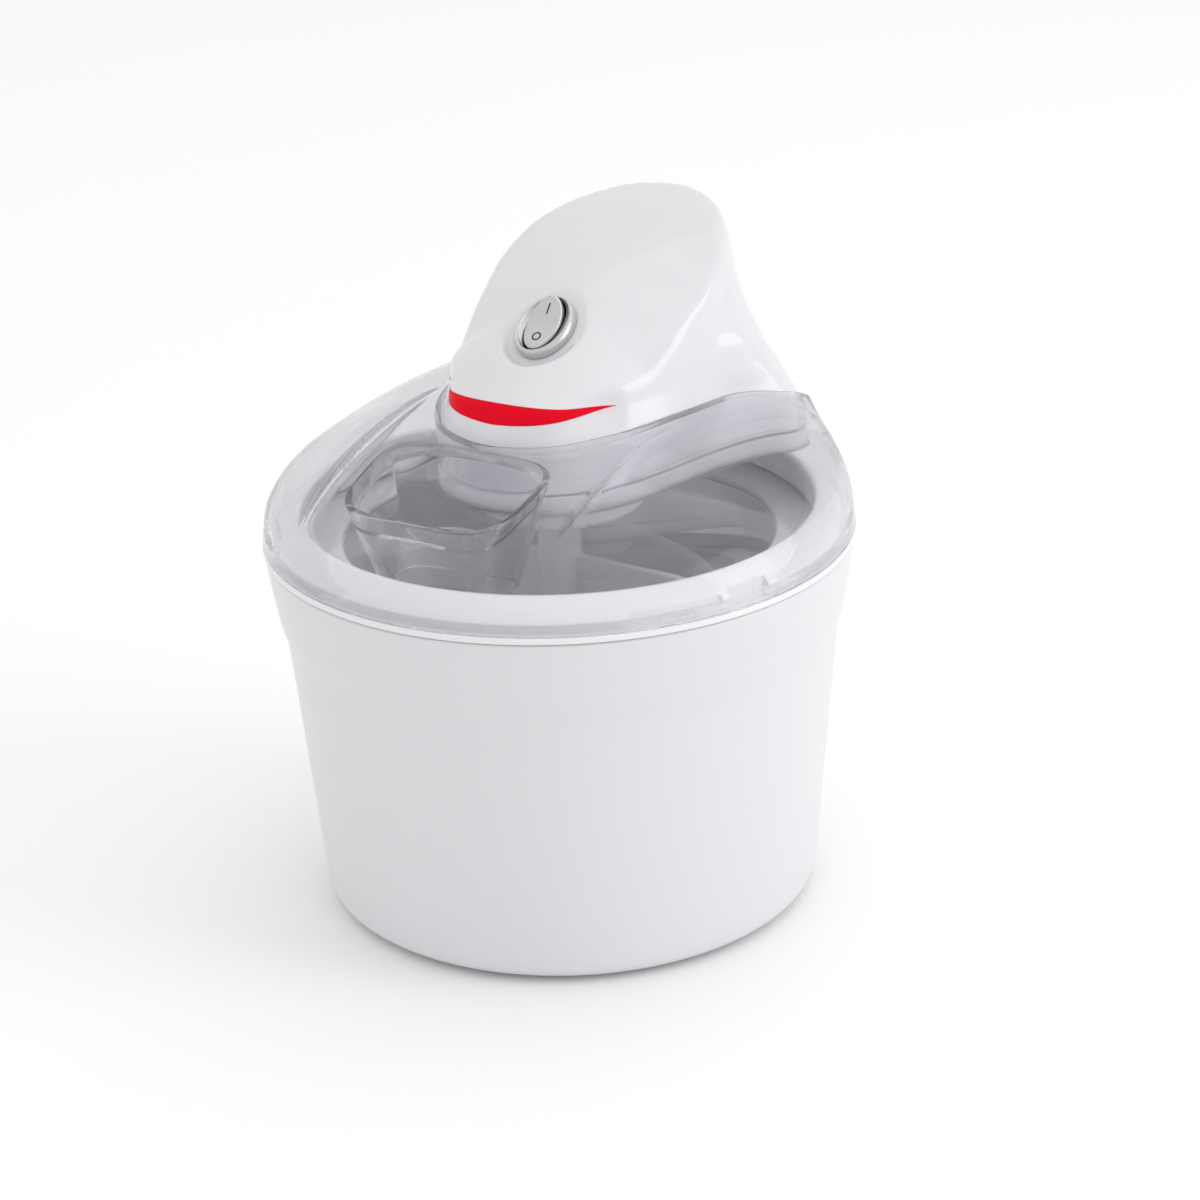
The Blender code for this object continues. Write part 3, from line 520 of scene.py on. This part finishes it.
def look_up(turn, height):
    """Outline radius at a turn and a height."""
    column = np.clip((turn + math.pi) / (2 * math.pi) * 720, 0, 719.999)
    row = np.clip(height - LEVELS[0], 0, len(LEVELS) - 1.001)
    c, r = column.astype(int), row.astype(int)
    u, v = column - c, row - r
    return ((TABLE[r, c] * (1 - u) + TABLE[r, c + 1] * u) * (1 - v)
            + (TABLE[r + 1, c] * (1 - u) + TABLE[r + 1, c + 1] * u) * v)


def along(turn, reach):
    return reach * np.sin(turn), MID_Y - reach * np.cos(turn)


def edge_heights():
    """Height of the lid's edge round the motor unit, at each of TURNS."""
    height = np.interp(np.degrees(np.abs(TURNS)), *zip(*EDGE_HEIGHTS))
    spread = np.exp(-0.5 * (np.arange(-30, 31) / 12) ** 2)
    wrapped = np.pad(height[:-1], 30, mode="wrap")
    return np.convolve(wrapped, spread / spread.sum(), "valid")[np.arange(721) % 720]


EDGE = edge_heights()


def casing_radius(turn, height):
    """The casing's outline: under the lid's edge it runs straight in to its foot."""
    edge = np.interp(turn, TURNS, EDGE)
    foot = look_up(turn, np.full_like(turn, 164.0)) - 0.6
    at_edge = look_up(turn, edge)
    share = np.clip((height - CASE_LOW_Z) / (edge - CASE_LOW_Z), 0, 1)
    return np.where(height < edge, foot + (at_edge - foot) * share, look_up(turn, height))


def face_height(x, y):
    """Top of the motor unit: the sloping face."""
    crown = np.interp(y, FINE_Y, CROWN_LINE) * (np.minimum(np.abs(x), PANEL_HALF) / 40) ** 2
    return np.interp(y, FINE_Y, SPINE_LINE) - crown - 8 * ramp(PANEL_HALF, PANEL_HALF + 8, np.abs(x))


def casing_depth(points):
    """How far points are outside the casing (below zero: inside), its top edge softly rounded."""
    x, y, z = points[..., 0], points[..., 1], points[..., 2]
    turn = np.arctan2(x, MID_Y - y)
    side = np.hypot(x, MID_Y - y) - casing_radius(turn, z)
    top = (z - face_height(x, y)) * 0.9
    soft = 1.1
    return np.logaddexp(side / soft, top / soft) * soft


def meet(start, direction, reach, target=0.0):
    """Where lines from inside the casing come out of it."""
    near, far = np.zeros(direction.shape[:-1]), np.full(direction.shape[:-1], reach)
    for _ in range(34):
        middle = (near + far) / 2
        out = casing_depth(start + direction * middle[..., None]) > target
        far = np.where(out, middle, far)
        near = np.where(out, near, middle)
    return start + direction * near[..., None]


NORMAL = np.array((0, -math.sin(SWITCH_TILT), math.cos(SWITCH_TILT)))
UPHILL = np.array((0, math.cos(SWITCH_TILT), math.sin(SWITCH_TILT)))
ACROSS = np.array((1.0, 0, 0))
SWITCH = np.array((0, SWITCH_Y, float(np.interp(SWITCH_Y, *zip(*SPINE)))))


LYING = Matrix.Rotation(math.radians(90), 4, "X")      # turns an upright lathe piece to lie along Y


def on_switch(points):
    """Points given across, uphill and out of the sloping face, taken to the frame's axes."""
    points = np.asarray(points, float)
    return SWITCH + points[..., :1] * ACROSS + points[..., 1:2] * UPHILL + points[..., 2:] * NORMAL


# ---------------------------------------------------------------- tub and bowl
def make_turned():
    edges = {"outer_housing": 2.5, "bowl_inner": 4.0, "bowl_outer": 3.0, "bowl_rim": 0.6}
    for node, radius in edges.items():
        profile, closes = half_section(node)
        piece = lathe(node + "_shell", fillet(profile, radius, closes), steps=180, closed=closes)
        dress(piece, LOOKS[SLOT_OF[node]], node)
    for i in range(1, 5):
        middle = (low(f"foot_{i}") + high(f"foot_{i}")) / 2
        top, bottom = high(f"foot_{i}").z, low(f"foot_{i}").z
        radius = (high(f"foot_{i}").x - low(f"foot_{i}").x) / 2
        profile = [(0, top), (radius, top), (radius, bottom), (radius - 2, bottom),
                   (radius - 2.4, bottom + 0.3), (0, bottom + 0.3)]
        foot = lathe(f"foot_pad_{i}", fillet(profile, 0.4), (middle.x, middle.y), 48)
        dress(foot, LOOKS["foot_rubber"], f"foot_{i}")


def sector(name, turn, half, inner, outer, bottom, top):
    """A block bent round the axis, centred on an angle from the front."""
    turns = np.radians(np.linspace(turn - half, turn + half, 9))
    loop = [(outer * math.sin(a), -outer * math.cos(a)) for a in turns]
    loop += [(inner * math.sin(a), -inner * math.cos(a)) for a in turns[::-1]]
    middle = np.mean(loop, axis=0)
    rows = [[(*middle, bottom)], [(*p, bottom) for p in loop]]
    rows += [[(*p, top) for p in loop], [(*middle, top)]]
    return skin(name, rows, sharp=20)


def make_ring():
    profile, closes = half_section("rim_ring")
    ring = lathe("rim_ring_shell", fillet(profile, 1.0, closes), steps=240, closed=closes)
    for turn in TABS:
        combine(ring, sector("entry", turn + UNLOCK, 4.8, 103.2, 112, SEAM_Z - 0.2, 160))
        combine(ring, sector("pocket", turn, 9.5, 104.4, 112, SEAM_Z + 0.4, 160))
    dress(ring, LOOKS["ring_white"], "rim_ring")


# ---------------------------------------------------------------- clear lid
def chute_loop(scale, height, tilt=0.0, margin=0.0, count=96):
    middle = (CHUTE_BACK + CHUTE_FRONT) / 2
    turns = np.arange(count) * 2 * math.pi / count
    x = (CHUTE_HALF - margin) * np.sign(np.cos(turns)) * np.abs(np.cos(turns)) ** 0.5
    y = ((CHUTE_BACK - CHUTE_FRONT) / 2 - margin) * np.sign(np.sin(turns)) * np.abs(np.sin(turns)) ** 0.5
    y = y * scale + middle
    x = x * scale * (1 - 0.1 * (CHUTE_BACK - y) / (CHUTE_BACK - CHUTE_FRONT))
    return [(a, b, height + tilt * (b - CHUTE_BACK)) for a, b in zip(x, y)]


def capped(name, rows):
    """A solid through loops of points, closed at both ends."""
    rows = [[tuple(p) for p in row] for row in rows]
    return skin(name, [[np.mean(rows[0], axis=0)]] + rows + [[np.mean(rows[-1], axis=0)]])


def lid_body():
    """The clear lid: skirt, dome, rounded edge round the motor unit and the well it stands in."""
    turns = np.linspace(-math.pi, math.pi, 481)[:-1]
    edge = np.interp(turns, TURNS, EDGE)
    inner = look_up(turns, edge) + WELL_GAP
    outside = np.stack(along(turns, inner + LIP), -1)
    inside = np.stack(along(turns, inner), -1)
    reach = casing_radius(turns, np.full_like(turns, CASE_LOW_Z)) + WELL_GAP + 0.4
    foot = np.stack(along(turns, reach), -1)
    under = np.stack(along(turns, reach + LIP), -1)
    rim = outside / np.linalg.norm(outside, axis=1)[:, None]

    def row(places, heights):
        return np.column_stack([places, np.broadcast_to(heights, len(places))])

    rise = edge - lid_height(*outside.T)

    def dome(part):
        places = rim * LID_R * (1 - part) + outside * part
        return row(places, lid_height(*places.T) + rise * part ** 3)

    def hollow(part):
        made = dome(part)
        share = 1 - LID_WALL / LID_R
        middle = 1 - (made[:, 0] ** 2 + made[:, 1] ** 2) / LID_R ** 2
        return np.column_stack([made[:, :2] * share, LID_Z + (made[:, 2] - LID_Z) * share - 1.2 * middle])

    steps = np.linspace(0, 1, 96) ** 1.5
    skirt = ((0.5, SEAM_Z), (0.8, SEAM_Z + 0.3), (0.8, SEAM_Z + 1.0), (0.5, 147.0), (0.2, 149.0))
    rows = [row(rim * (LID_R + out), z) for out, z in skirt]
    rows += [dome(part) for part in steps]
    for turn in np.linspace(0.2, 1, 5):                         # the rounded edge round the motor unit
        share = math.sin(turn * math.pi / 2)
        rows.append(row(outside + (inside - outside) * share, edge + 0.9 * math.sin(turn * math.pi)))
    for part in (0.06, 0.2, 0.4, 0.6, 0.8, 0.94):
        rows.append(row(inside + (foot - inside) * part, edge + (WELL_Z - edge) * part))
    rows += [row((foot - (0, 20)) * 0.97 + (0, 20), WELL_Z), row((foot - (0, 20)) * 0.9 + (0, 20), WELL_Z)]
    rows += [row(rim * radius, WELL_Z) for radius in (36.0, 9.4, 9.0)]
    floor = WELL_Z - LID_WALL
    rows += [row(rim * radius, floor) for radius in (9.0, 9.4, 36.0)]
    rows += [row((under - (0, 20)) * 0.9 + (0, 20), floor), row((under - (0, 20)) * 0.97 + (0, 20), floor + 0.2)]
    last = hollow(1.0)
    for part in (0.94, 0.8, 0.6, 0.4, 0.2, 0.06):
        rows.append(row(last[:, :2] + (under - last[:, :2]) * part, last[:, 2] + (floor - last[:, 2]) * part))
    rows += [hollow(part) for part in steps[::-1]]
    skirt = ((0.2, 148.0), (0.6, SEAM_Z + 0.4), (0.9, SEAM_Z))
    rows += [row(rim * (LID_R - LID_WALL + out), z) for out, z in skirt]
    return skin("clear_lid", rows, closed=True, sharp=50)


def make_lid():
    lid = lid_body()
    rim_z, tilt = 189.0, 0.28
    body = [chute_loop(0.68, CHUTE_FOOT_Z), chute_loop(0.997, rim_z - 1.1, tilt)]
    body += [chute_loop(1.0, rim_z - 0.5, tilt, 0.05), chute_loop(1.0, rim_z - 0.12, tilt, 0.35),
             chute_loop(1.0, rim_z, tilt, 0.9)]
    hole = [chute_loop(0.66, CHUTE_FOOT_Z - 4, margin=LID_WALL), chute_loop(0.985, rim_z - 0.9, tilt, LID_WALL)]
    hole += [chute_loop(1.0, rim_z - 0.3, tilt, LID_WALL - 0.4), chute_loop(1.0, rim_z + 0.1, tilt, LID_WALL - 0.9),
             chute_loop(1.0, rim_z + 4, tilt, LID_WALL - 0.9)]
    combine(lid, capped("chute_body", body), "UNION")
    combine(lid, capped("chute_hole", hole))
    for turn in TABS:
        combine(lid, sector("tab", turn, 3.6, 105.2, 108.8, SEAM_Z + 0.3, SEAM_Z + 2.3), "UNION")
    dress(shade(lid, 40), LOOKS["lid_clear"], "lid")


def make_boss():
    profile, closes = half_section("lid_bushing")
    boss = lathe("well_boss", fillet(profile, 1.0, closes), steps=96, closed=closes)
    dress(boss, LOOKS["bushing_acetal"], "lid_bushing")


# ---------------------------------------------------------------- paddle
def slab(name, outline, half):
    """An outline of (x, z) given a thickness along y."""
    middle = np.mean(outline, axis=0)
    rows = [[(middle[0], -half, middle[1])]]
    rows += [[(x, y, z) for x, z in outline] for y in (-half, half)]
    rows += [[(middle[0], half, middle[1])]]
    return skin(name, rows, sharp=20)


def make_paddle():
    top = high("paddle").z
    profile = [(0, top), (6.3, top), (6.3, 151.8), (9.5, 151.8), (9.5, 148.5), (7.5, 146), (8.5, 130),
               (9.5, 40), (7, 32), (0, 30.5)]
    paddle = lathe("paddle_body", fillet(profile, 1.2), steps=72)
    arm = [(4, 33), (60, 31.2), (69, 34), (73.6, 42), (74.8, 60), (75.8, 118), (70, 126), (52, 131),
           (4, 133)]
    arm = fillet(arm, 5.0, True)
    window = fillet([(19, 50), (62, 50), (62, 112), (19, 112)], 7.0, True, 6)
    for sign in (1, -1):
        plate = rounded(slab("arm", [(p[0] * sign, p[1]) for p in arm], 1.6), 0.7)
        combine(plate, slab("window", [(p[0] * sign, p[1]) for p in window], 5))
        combine(paddle, plate, "UNION")
    combine(paddle, box_piece("socket", (-3.4, -3.4, 151), (3.4, 3.4, 170)))
    dress(paddle, LOOKS["paddle_white"], "paddle")


# ---------------------------------------------------------------- motor unit casing
def make_cover():
    """The cover as rings about the switch: first its dish, then outwards over the whole casing."""
    heart = SWITCH - NORMAL * 45
    count = 288
    turn = np.arange(count) * 2 * math.pi / count
    flat = np.cos(turn)[:, None] * ACROSS + np.sin(turn)[:, None] * UPHILL * SWITCH_STRETCH
    rows = []
    for radius in (10.7, 11.1, 11.8, 12.4, 13.0, 13.6, 14.2, 14.8, 15.4, 16.0, 16.6, 17.3, 18.0):
        start = heart + flat * radius
        skin_point = meet(start, np.broadcast_to(NORMAL, start.shape), 80)
        height = (skin_point - SWITCH) @ NORMAL
        dish = -2.7 + (height + 2.7) * ramp(13.2, 16.8, radius)
        rows.append(SWITCH + flat * radius + dish[:, None] * NORMAL)
    last = rows[-1] - heart
    lean = np.arctan2(np.linalg.norm(last - (last @ NORMAL)[:, None] * NORMAL, axis=1), last @ NORMAL)
    for part in np.linspace(0, 1, 132)[1:]:
        angle = lean + (math.radians(146) - lean) * part
        direction = flat * np.sin(angle)[:, None] + NORMAL * np.cos(angle)[:, None]
        rows.append(meet(heart, direction, 220))
    cover = skin("cover", rows)
    work = bmesh.new()
    work.from_mesh(cover.data)
    everything = work.verts[:] + work.edges[:] + work.faces[:]
    bmesh.ops.bisect_plane(work, geom=everything, plane_co=(0, 0, CASE_SPLIT_Z * MM), plane_no=(0, 0, -1),
                           clear_outer=True)
    work.to_mesh(cover.data)
    work.free()
    facing_out(cover, 0, NORMAL)
    walled(cover, 2.2)
    inlet = lathe("inlet_hole", [(0, 12), (5.4, 12), (5.4, -12), (0, -12)], steps=48)
    inlet.data.transform(Matrix.Translation(inlet_place() * MM) @ LYING)
    combine(cover, inlet)
    dress(cover, LOOKS["cover_white"], "motor_cover").name = "motor_cover_shell"


def inlet_place():
    middle = (low("cord_inlet") + high("cord_inlet")) / 2
    return Vector((0, middle.y, middle.z))


def make_base():
    turns = np.linspace(-math.pi, math.pi, 241)[:-1]
    top, bottom = high_split(), CASE_LOW_Z

    def loop(height, inset):
        reach = casing_radius(turns, np.full_like(turns, height)) - inset
        return np.column_stack([*along(turns, reach), np.full_like(turns, height)])

    rows = [loop(top, 0)]
    rows += [loop(bottom + rise, inset) for rise, inset in ((1.6, 0), (0.8, 0.25), (0.25, 0.8), (0, 1.7))]
    flat = rows[-1][:, :2]
    for radius in (30.0, 6.4):
        ray = flat / np.linalg.norm(flat, axis=1)[:, None]
        rows.append(np.column_stack([ray * radius, np.full(len(ray), bottom)]))
    base = skin("base", rows, sharp=45)
    facing_out(base, 0, (0, -1, 0))
    walled(base, 2.2, 45)
    for i in range(1, 5):
        middle = (low(f"case_screw_{i}") + high(f"case_screw_{i}")) / 2
        boss = [(0, 173), (5.5, 173), (5.5, bottom + 0.5), (0, bottom + 0.5)]
        bore = [(0, 172), (3.9, 172), (3.9, bottom - 2), (0, bottom - 2)]
        combine(base, lathe("boss", boss, middle[:2], 36), "UNION")
        combine(base, lathe("bore", bore, middle[:2], 36))
    dress(base, LOOKS["base_white"], "motor_base").name = "motor_base_shell"


def high_split():
    return CASE_SPLIT_Z - 0.35


def make_trim():
    """The red crescent on the nose, set into the cover's skin."""
    across = np.linspace(-1, 1, 121)
    rows = []
    for out, share in ((-0.5, 0.0), (0.1, 0.0), (0.22, 0.04), (0.22, 0.25), (0.22, 0.5), (0.22, 0.75),
                       (0.22, 0.96), (0.1, 1.0), (-0.5, 1.0)):
        turn = np.radians(TRIM_HALF * across)
        bottom = TRIM_LOW + 4.2 * np.abs(across) ** 1.3
        top = np.maximum(TRIM_HIGH - 2.5 * across ** 2, bottom + 0.05)
        height = bottom + (top - bottom) * share
        start = np.column_stack([8 * np.sin(turn), -8 * np.cos(turn), height])
        direction = np.column_stack([np.sin(turn), -np.cos(turn), np.zeros_like(turn)])
        rows.append(meet(start, direction, 70, out))
    trim = skin("red_crescent", rows, around=False, closed=True, sharp=50)
    work = bmesh.new()
    work.from_mesh(trim.data)
    bmesh.ops.holes_fill(work, edges=[e for e in work.edges if e.is_boundary])
    bmesh.ops.recalc_face_normals(work, faces=work.faces)
    work.to_mesh(trim.data)
    work.free()
    dress(trim, LOOKS["trim_red"], "red_trim")


# ---------------------------------------------------------------- switch
def oval(half_x, half_y, height, count=72):
    turn = np.arange(count) * 2 * math.pi / count
    return [(half_x * math.cos(a), half_y * math.sin(a), height) for a in turn]


def make_switch():
    outer = fillet([(11.1, -2.3), (11.1, -0.2), (10.7, 1.0), (10.1, 1.5)], 0.5)
    rows = [oval(r, r * SWITCH_STRETCH, z) for r, z in outer]
    rows += [oval(9.3 - 0.7 * t, 12.4 - 0.1 * t, 1.5 - 0.7 * t) for t in (0.15, 0.5, 1.0)]
    rows += [oval(7.6, 12.2, 0.3), oval(7.25, 12.1, 0.05)]
    rows += [oval(*OPENING_HALF, -0.4), oval(*OPENING_HALF, -2.3)]
    bezel = skin("bezel_ring", [on_switch(row) for row in rows], closed=True)
    dress(bezel, LOOKS["switch_silver"], "switch_bezel")
    body = [oval(10.2, 12.7, -2.7), oval(10.2, 12.7, -18.6), oval(9.8, 12.3, -19)]
    well = [oval(*OPENING_HALF, -2.7), oval(*OPENING_HALF, -6.8)]
    rows = [[(0, 0, -6.8)]] + well[::-1] + body + [[(0, 0, -19)]]
    case = skin("switch_case", [on_switch(row) for row in rows])
    dress(case, LOOKS["switch_black"], "switch_body")

    def crown(y):
        """Height of the rocker's top: low and level on the O side, rising to the I side."""
        return float(np.interp(y, (-11.3, -4.6, 0, 3.4, 11.1), (1.15, 1.05, 1.35, 2.15, 4.3)))

    wide, long = ROCKER_HALF
    rows = [[(0, 0, -1.4)], oval(wide - 0.2, long - 0.2, -1.4), oval(wide, long, -1.1)]
    for shrink, drop in ((1.0, 0.75), (0.985, 0.36), (0.95, 0.1), (0.9, 0), (0.7, 0), (0.45, 0), (0.2, 0)):
        rows.append([(x, y, crown(y) - drop) for x, y, _ in oval(wide * shrink, long * shrink, 0)])
    rows.append([(0, 0, crown(0))])
    key = skin("rocker_key", [on_switch(row) for row in rows], sharp=40)
    dress(key, LOOKS["switch_silver"], "rocker")

    stroke = ((-0.3, -0.2), (-0.3, 0.06), (0.3, 0.06), (0.3, -0.2))       # section of a printed line
    bar = []
    for y in np.linspace(3.6, 7.8, 9):
        bar.append(on_switch([(dx, y, crown(y) + dz) for dx, dz in stroke]))
    mark = skin("mark_on", [[bar[0].mean(0)]] + list(bar) + [[bar[-1].mean(0)]], sharp=20)
    dress(mark, LOOKS["switch_black"], body="rocker", slot="switch_black")
    ring = []
    for dr, dz in stroke:
        loop = [((1.5 + dr) * math.cos(a), -5.9 + (1.6 + dr) * math.sin(a))
                for a in np.arange(40) * 2 * math.pi / 40]
        ring.append(on_switch([(x, y, crown(y) + dz) for x, y in loop]))
    mark = skin("mark_off", ring, closed=True, sharp=20)
    dress(mark, LOOKS["switch_black"], body="rocker", slot="switch_black")


# ---------------------------------------------------------------- fastenings, inlet and drive
def make_screws():
    for i in range(1, 5):
        node = f"case_screw_{i}"
        middle = (low(node) + high(node)) / 2
        profile, _ = half_section(node, (middle.x, middle.y))
        screw = lathe(f"screw_{i}", fillet(profile, 0.5), (middle.x, middle.y), 40)
        head = low(node).z
        for long, wide in ((2.0, 0.45), (0.45, 2.0)):
            combine(screw, box_piece("cross", (middle.x - long, middle.y - wide, head - 1),
                                     (middle.x + long, middle.y + wide, head + 1.3)))
        dress(screw, LOOKS["steel"], node)


def make_inlet():
    profile = [(5.0, 4.5), (5.0, -3.2), (6.6, -3.2), (6.6, -5.0), (4.6, -5.4), (3.3, -5.4), (3.3, 4.5)]
    gland = lathe("cord_gland", fillet(profile, 0.6, True), steps=64, closed=True)
    gland.data.transform(Matrix.Translation(inlet_place() * MM) @ LYING)
    dress(gland, LOOKS["gland_rubber"], "cord_inlet")


def refined(node, bevel):
    """A copy of a CAD node with its flat faces whole again and its edges rounded."""
    mesh = frame["nodes"][node].data.copy()
    piece = bpy.data.objects.new(node + "_part", mesh)
    bpy.context.scene.collection.objects.link(piece)
    work = bmesh.new()
    work.from_mesh(mesh)
    bmesh.ops.remove_doubles(work, verts=work.verts, dist=0.00001)
    bmesh.ops.dissolve_limit(work, angle_limit=math.radians(2), verts=work.verts, edges=work.edges)
    work.to_mesh(mesh)
    work.free()
    rounded(piece, bevel, 2, 34)
    dress(piece, LOOKS[SLOT_OF[node]], node)


def make_inside():
    for node in ("drive_shaft", "output_bushing", "output_gear", "idler_gear", "motor_pinion",
                 "gear_plate", "rotor_bracket", "stator_coil", "terminal_block", "rotor_magnet",
                 "rotor_shaft", "idler_axle", "plate_screw_1", "plate_screw_2", "plate_screw_3"):
        refined(node, 0.25)
    refined("stator_core", 0.2)
    bpy.data.objects["stator_core_part"].data.materials[0] = laminated()
    gel = frame["nodes"]["coolant_gel"]
    gel.data.materials.clear()
    gel.data.materials.append(LOOKS["gel"])


# ---------------------------------------------------------------- stage
def soft_light(name, size, place, target, power):
    light = bpy.data.lights.new(name, "AREA")
    light.shape = "RECTANGLE"
    light.size, light.size_y = size
    light.energy = power
    lamp = bpy.data.objects.new(name, light)
    lamp.location = place
    lamp.rotation_euler = (Vector(target) - Vector(place)).to_track_quat("-Z", "Y").to_euler()
    bpy.context.scene.collection.objects.link(lamp)


def make_stage():
    mesh = bpy.data.meshes.new("floor")
    half = 12.0
    corners = [(-half, -half, 0), (half, -half, 0), (half, half, 0), (-half, half, 0)]
    mesh.from_pydata(corners, [], [(0, 1, 2, 3)])
    floor = bpy.data.objects.new("floor", mesh)
    bpy.context.scene.collection.objects.link(floor)
    pale = Nodes("pale_floor", (0.96, 0.96, 0.96), 0.7)
    pale.colour(pale.noise(3.0), (0.955, 0.955, 0.955), (0.965, 0.965, 0.965))
    mesh.materials.append(pale.material)

    world = bpy.data.worlds.new("studio")
    world.use_nodes = True
    world.node_tree.nodes["Background"].inputs["Color"].default_value = (1.0, 0.997, 0.997, 1)
    world.node_tree.nodes["Background"].inputs["Strength"].default_value = 0.91
    bpy.context.scene.world = world
    soft_light("overhead", (2.4, 2.4), (0.2, 0.6, 2.4), (0, 0, 0.1), 7)
    soft_light("right_bank", (1.0, 1.8), (1.9, 0.5, 0.9), (0, 0, 0.15), 12)
    bpy.context.scene.view_settings.view_transform = "Standard"


def make_camera():
    azimuth, elevation, roll = math.radians(33), math.radians(22.09), math.radians(-2.3)
    distance, target = 1.2405, Vector((0, 0, 0.12))
    back = Vector((math.sin(azimuth) * math.cos(elevation), -math.cos(azimuth) * math.cos(elevation),
                   math.sin(elevation)))
    right = Vector((math.cos(azimuth), math.sin(azimuth), 0))
    up = back.cross(right)
    turned_right = right * math.cos(roll) + up * math.sin(roll)
    turned_up = up * math.cos(roll) - right * math.sin(roll)
    camera = bpy.data.cameras.new("camera")
    camera.sensor_width = 36
    camera.lens = 99.5
    camera.shift_x = 0.0322
    camera.shift_y = -0.0151
    camera.clip_start = 0.05
    view = bpy.data.objects.new("camera", camera)
    axes = Matrix((turned_right, turned_up, back)).transposed().to_4x4()
    view.matrix_world = Matrix.Translation(target + back * distance) @ axes
    bpy.context.scene.collection.objects.link(view)
    bpy.context.scene.camera = view


make_camera()
make_turned()
make_ring()
make_lid()
make_boss()
make_paddle()
make_cover()
make_base()
make_trim()
make_switch()
make_screws()
make_inlet()
make_inside()
make_stage()
bpy.context.view_layer.update()
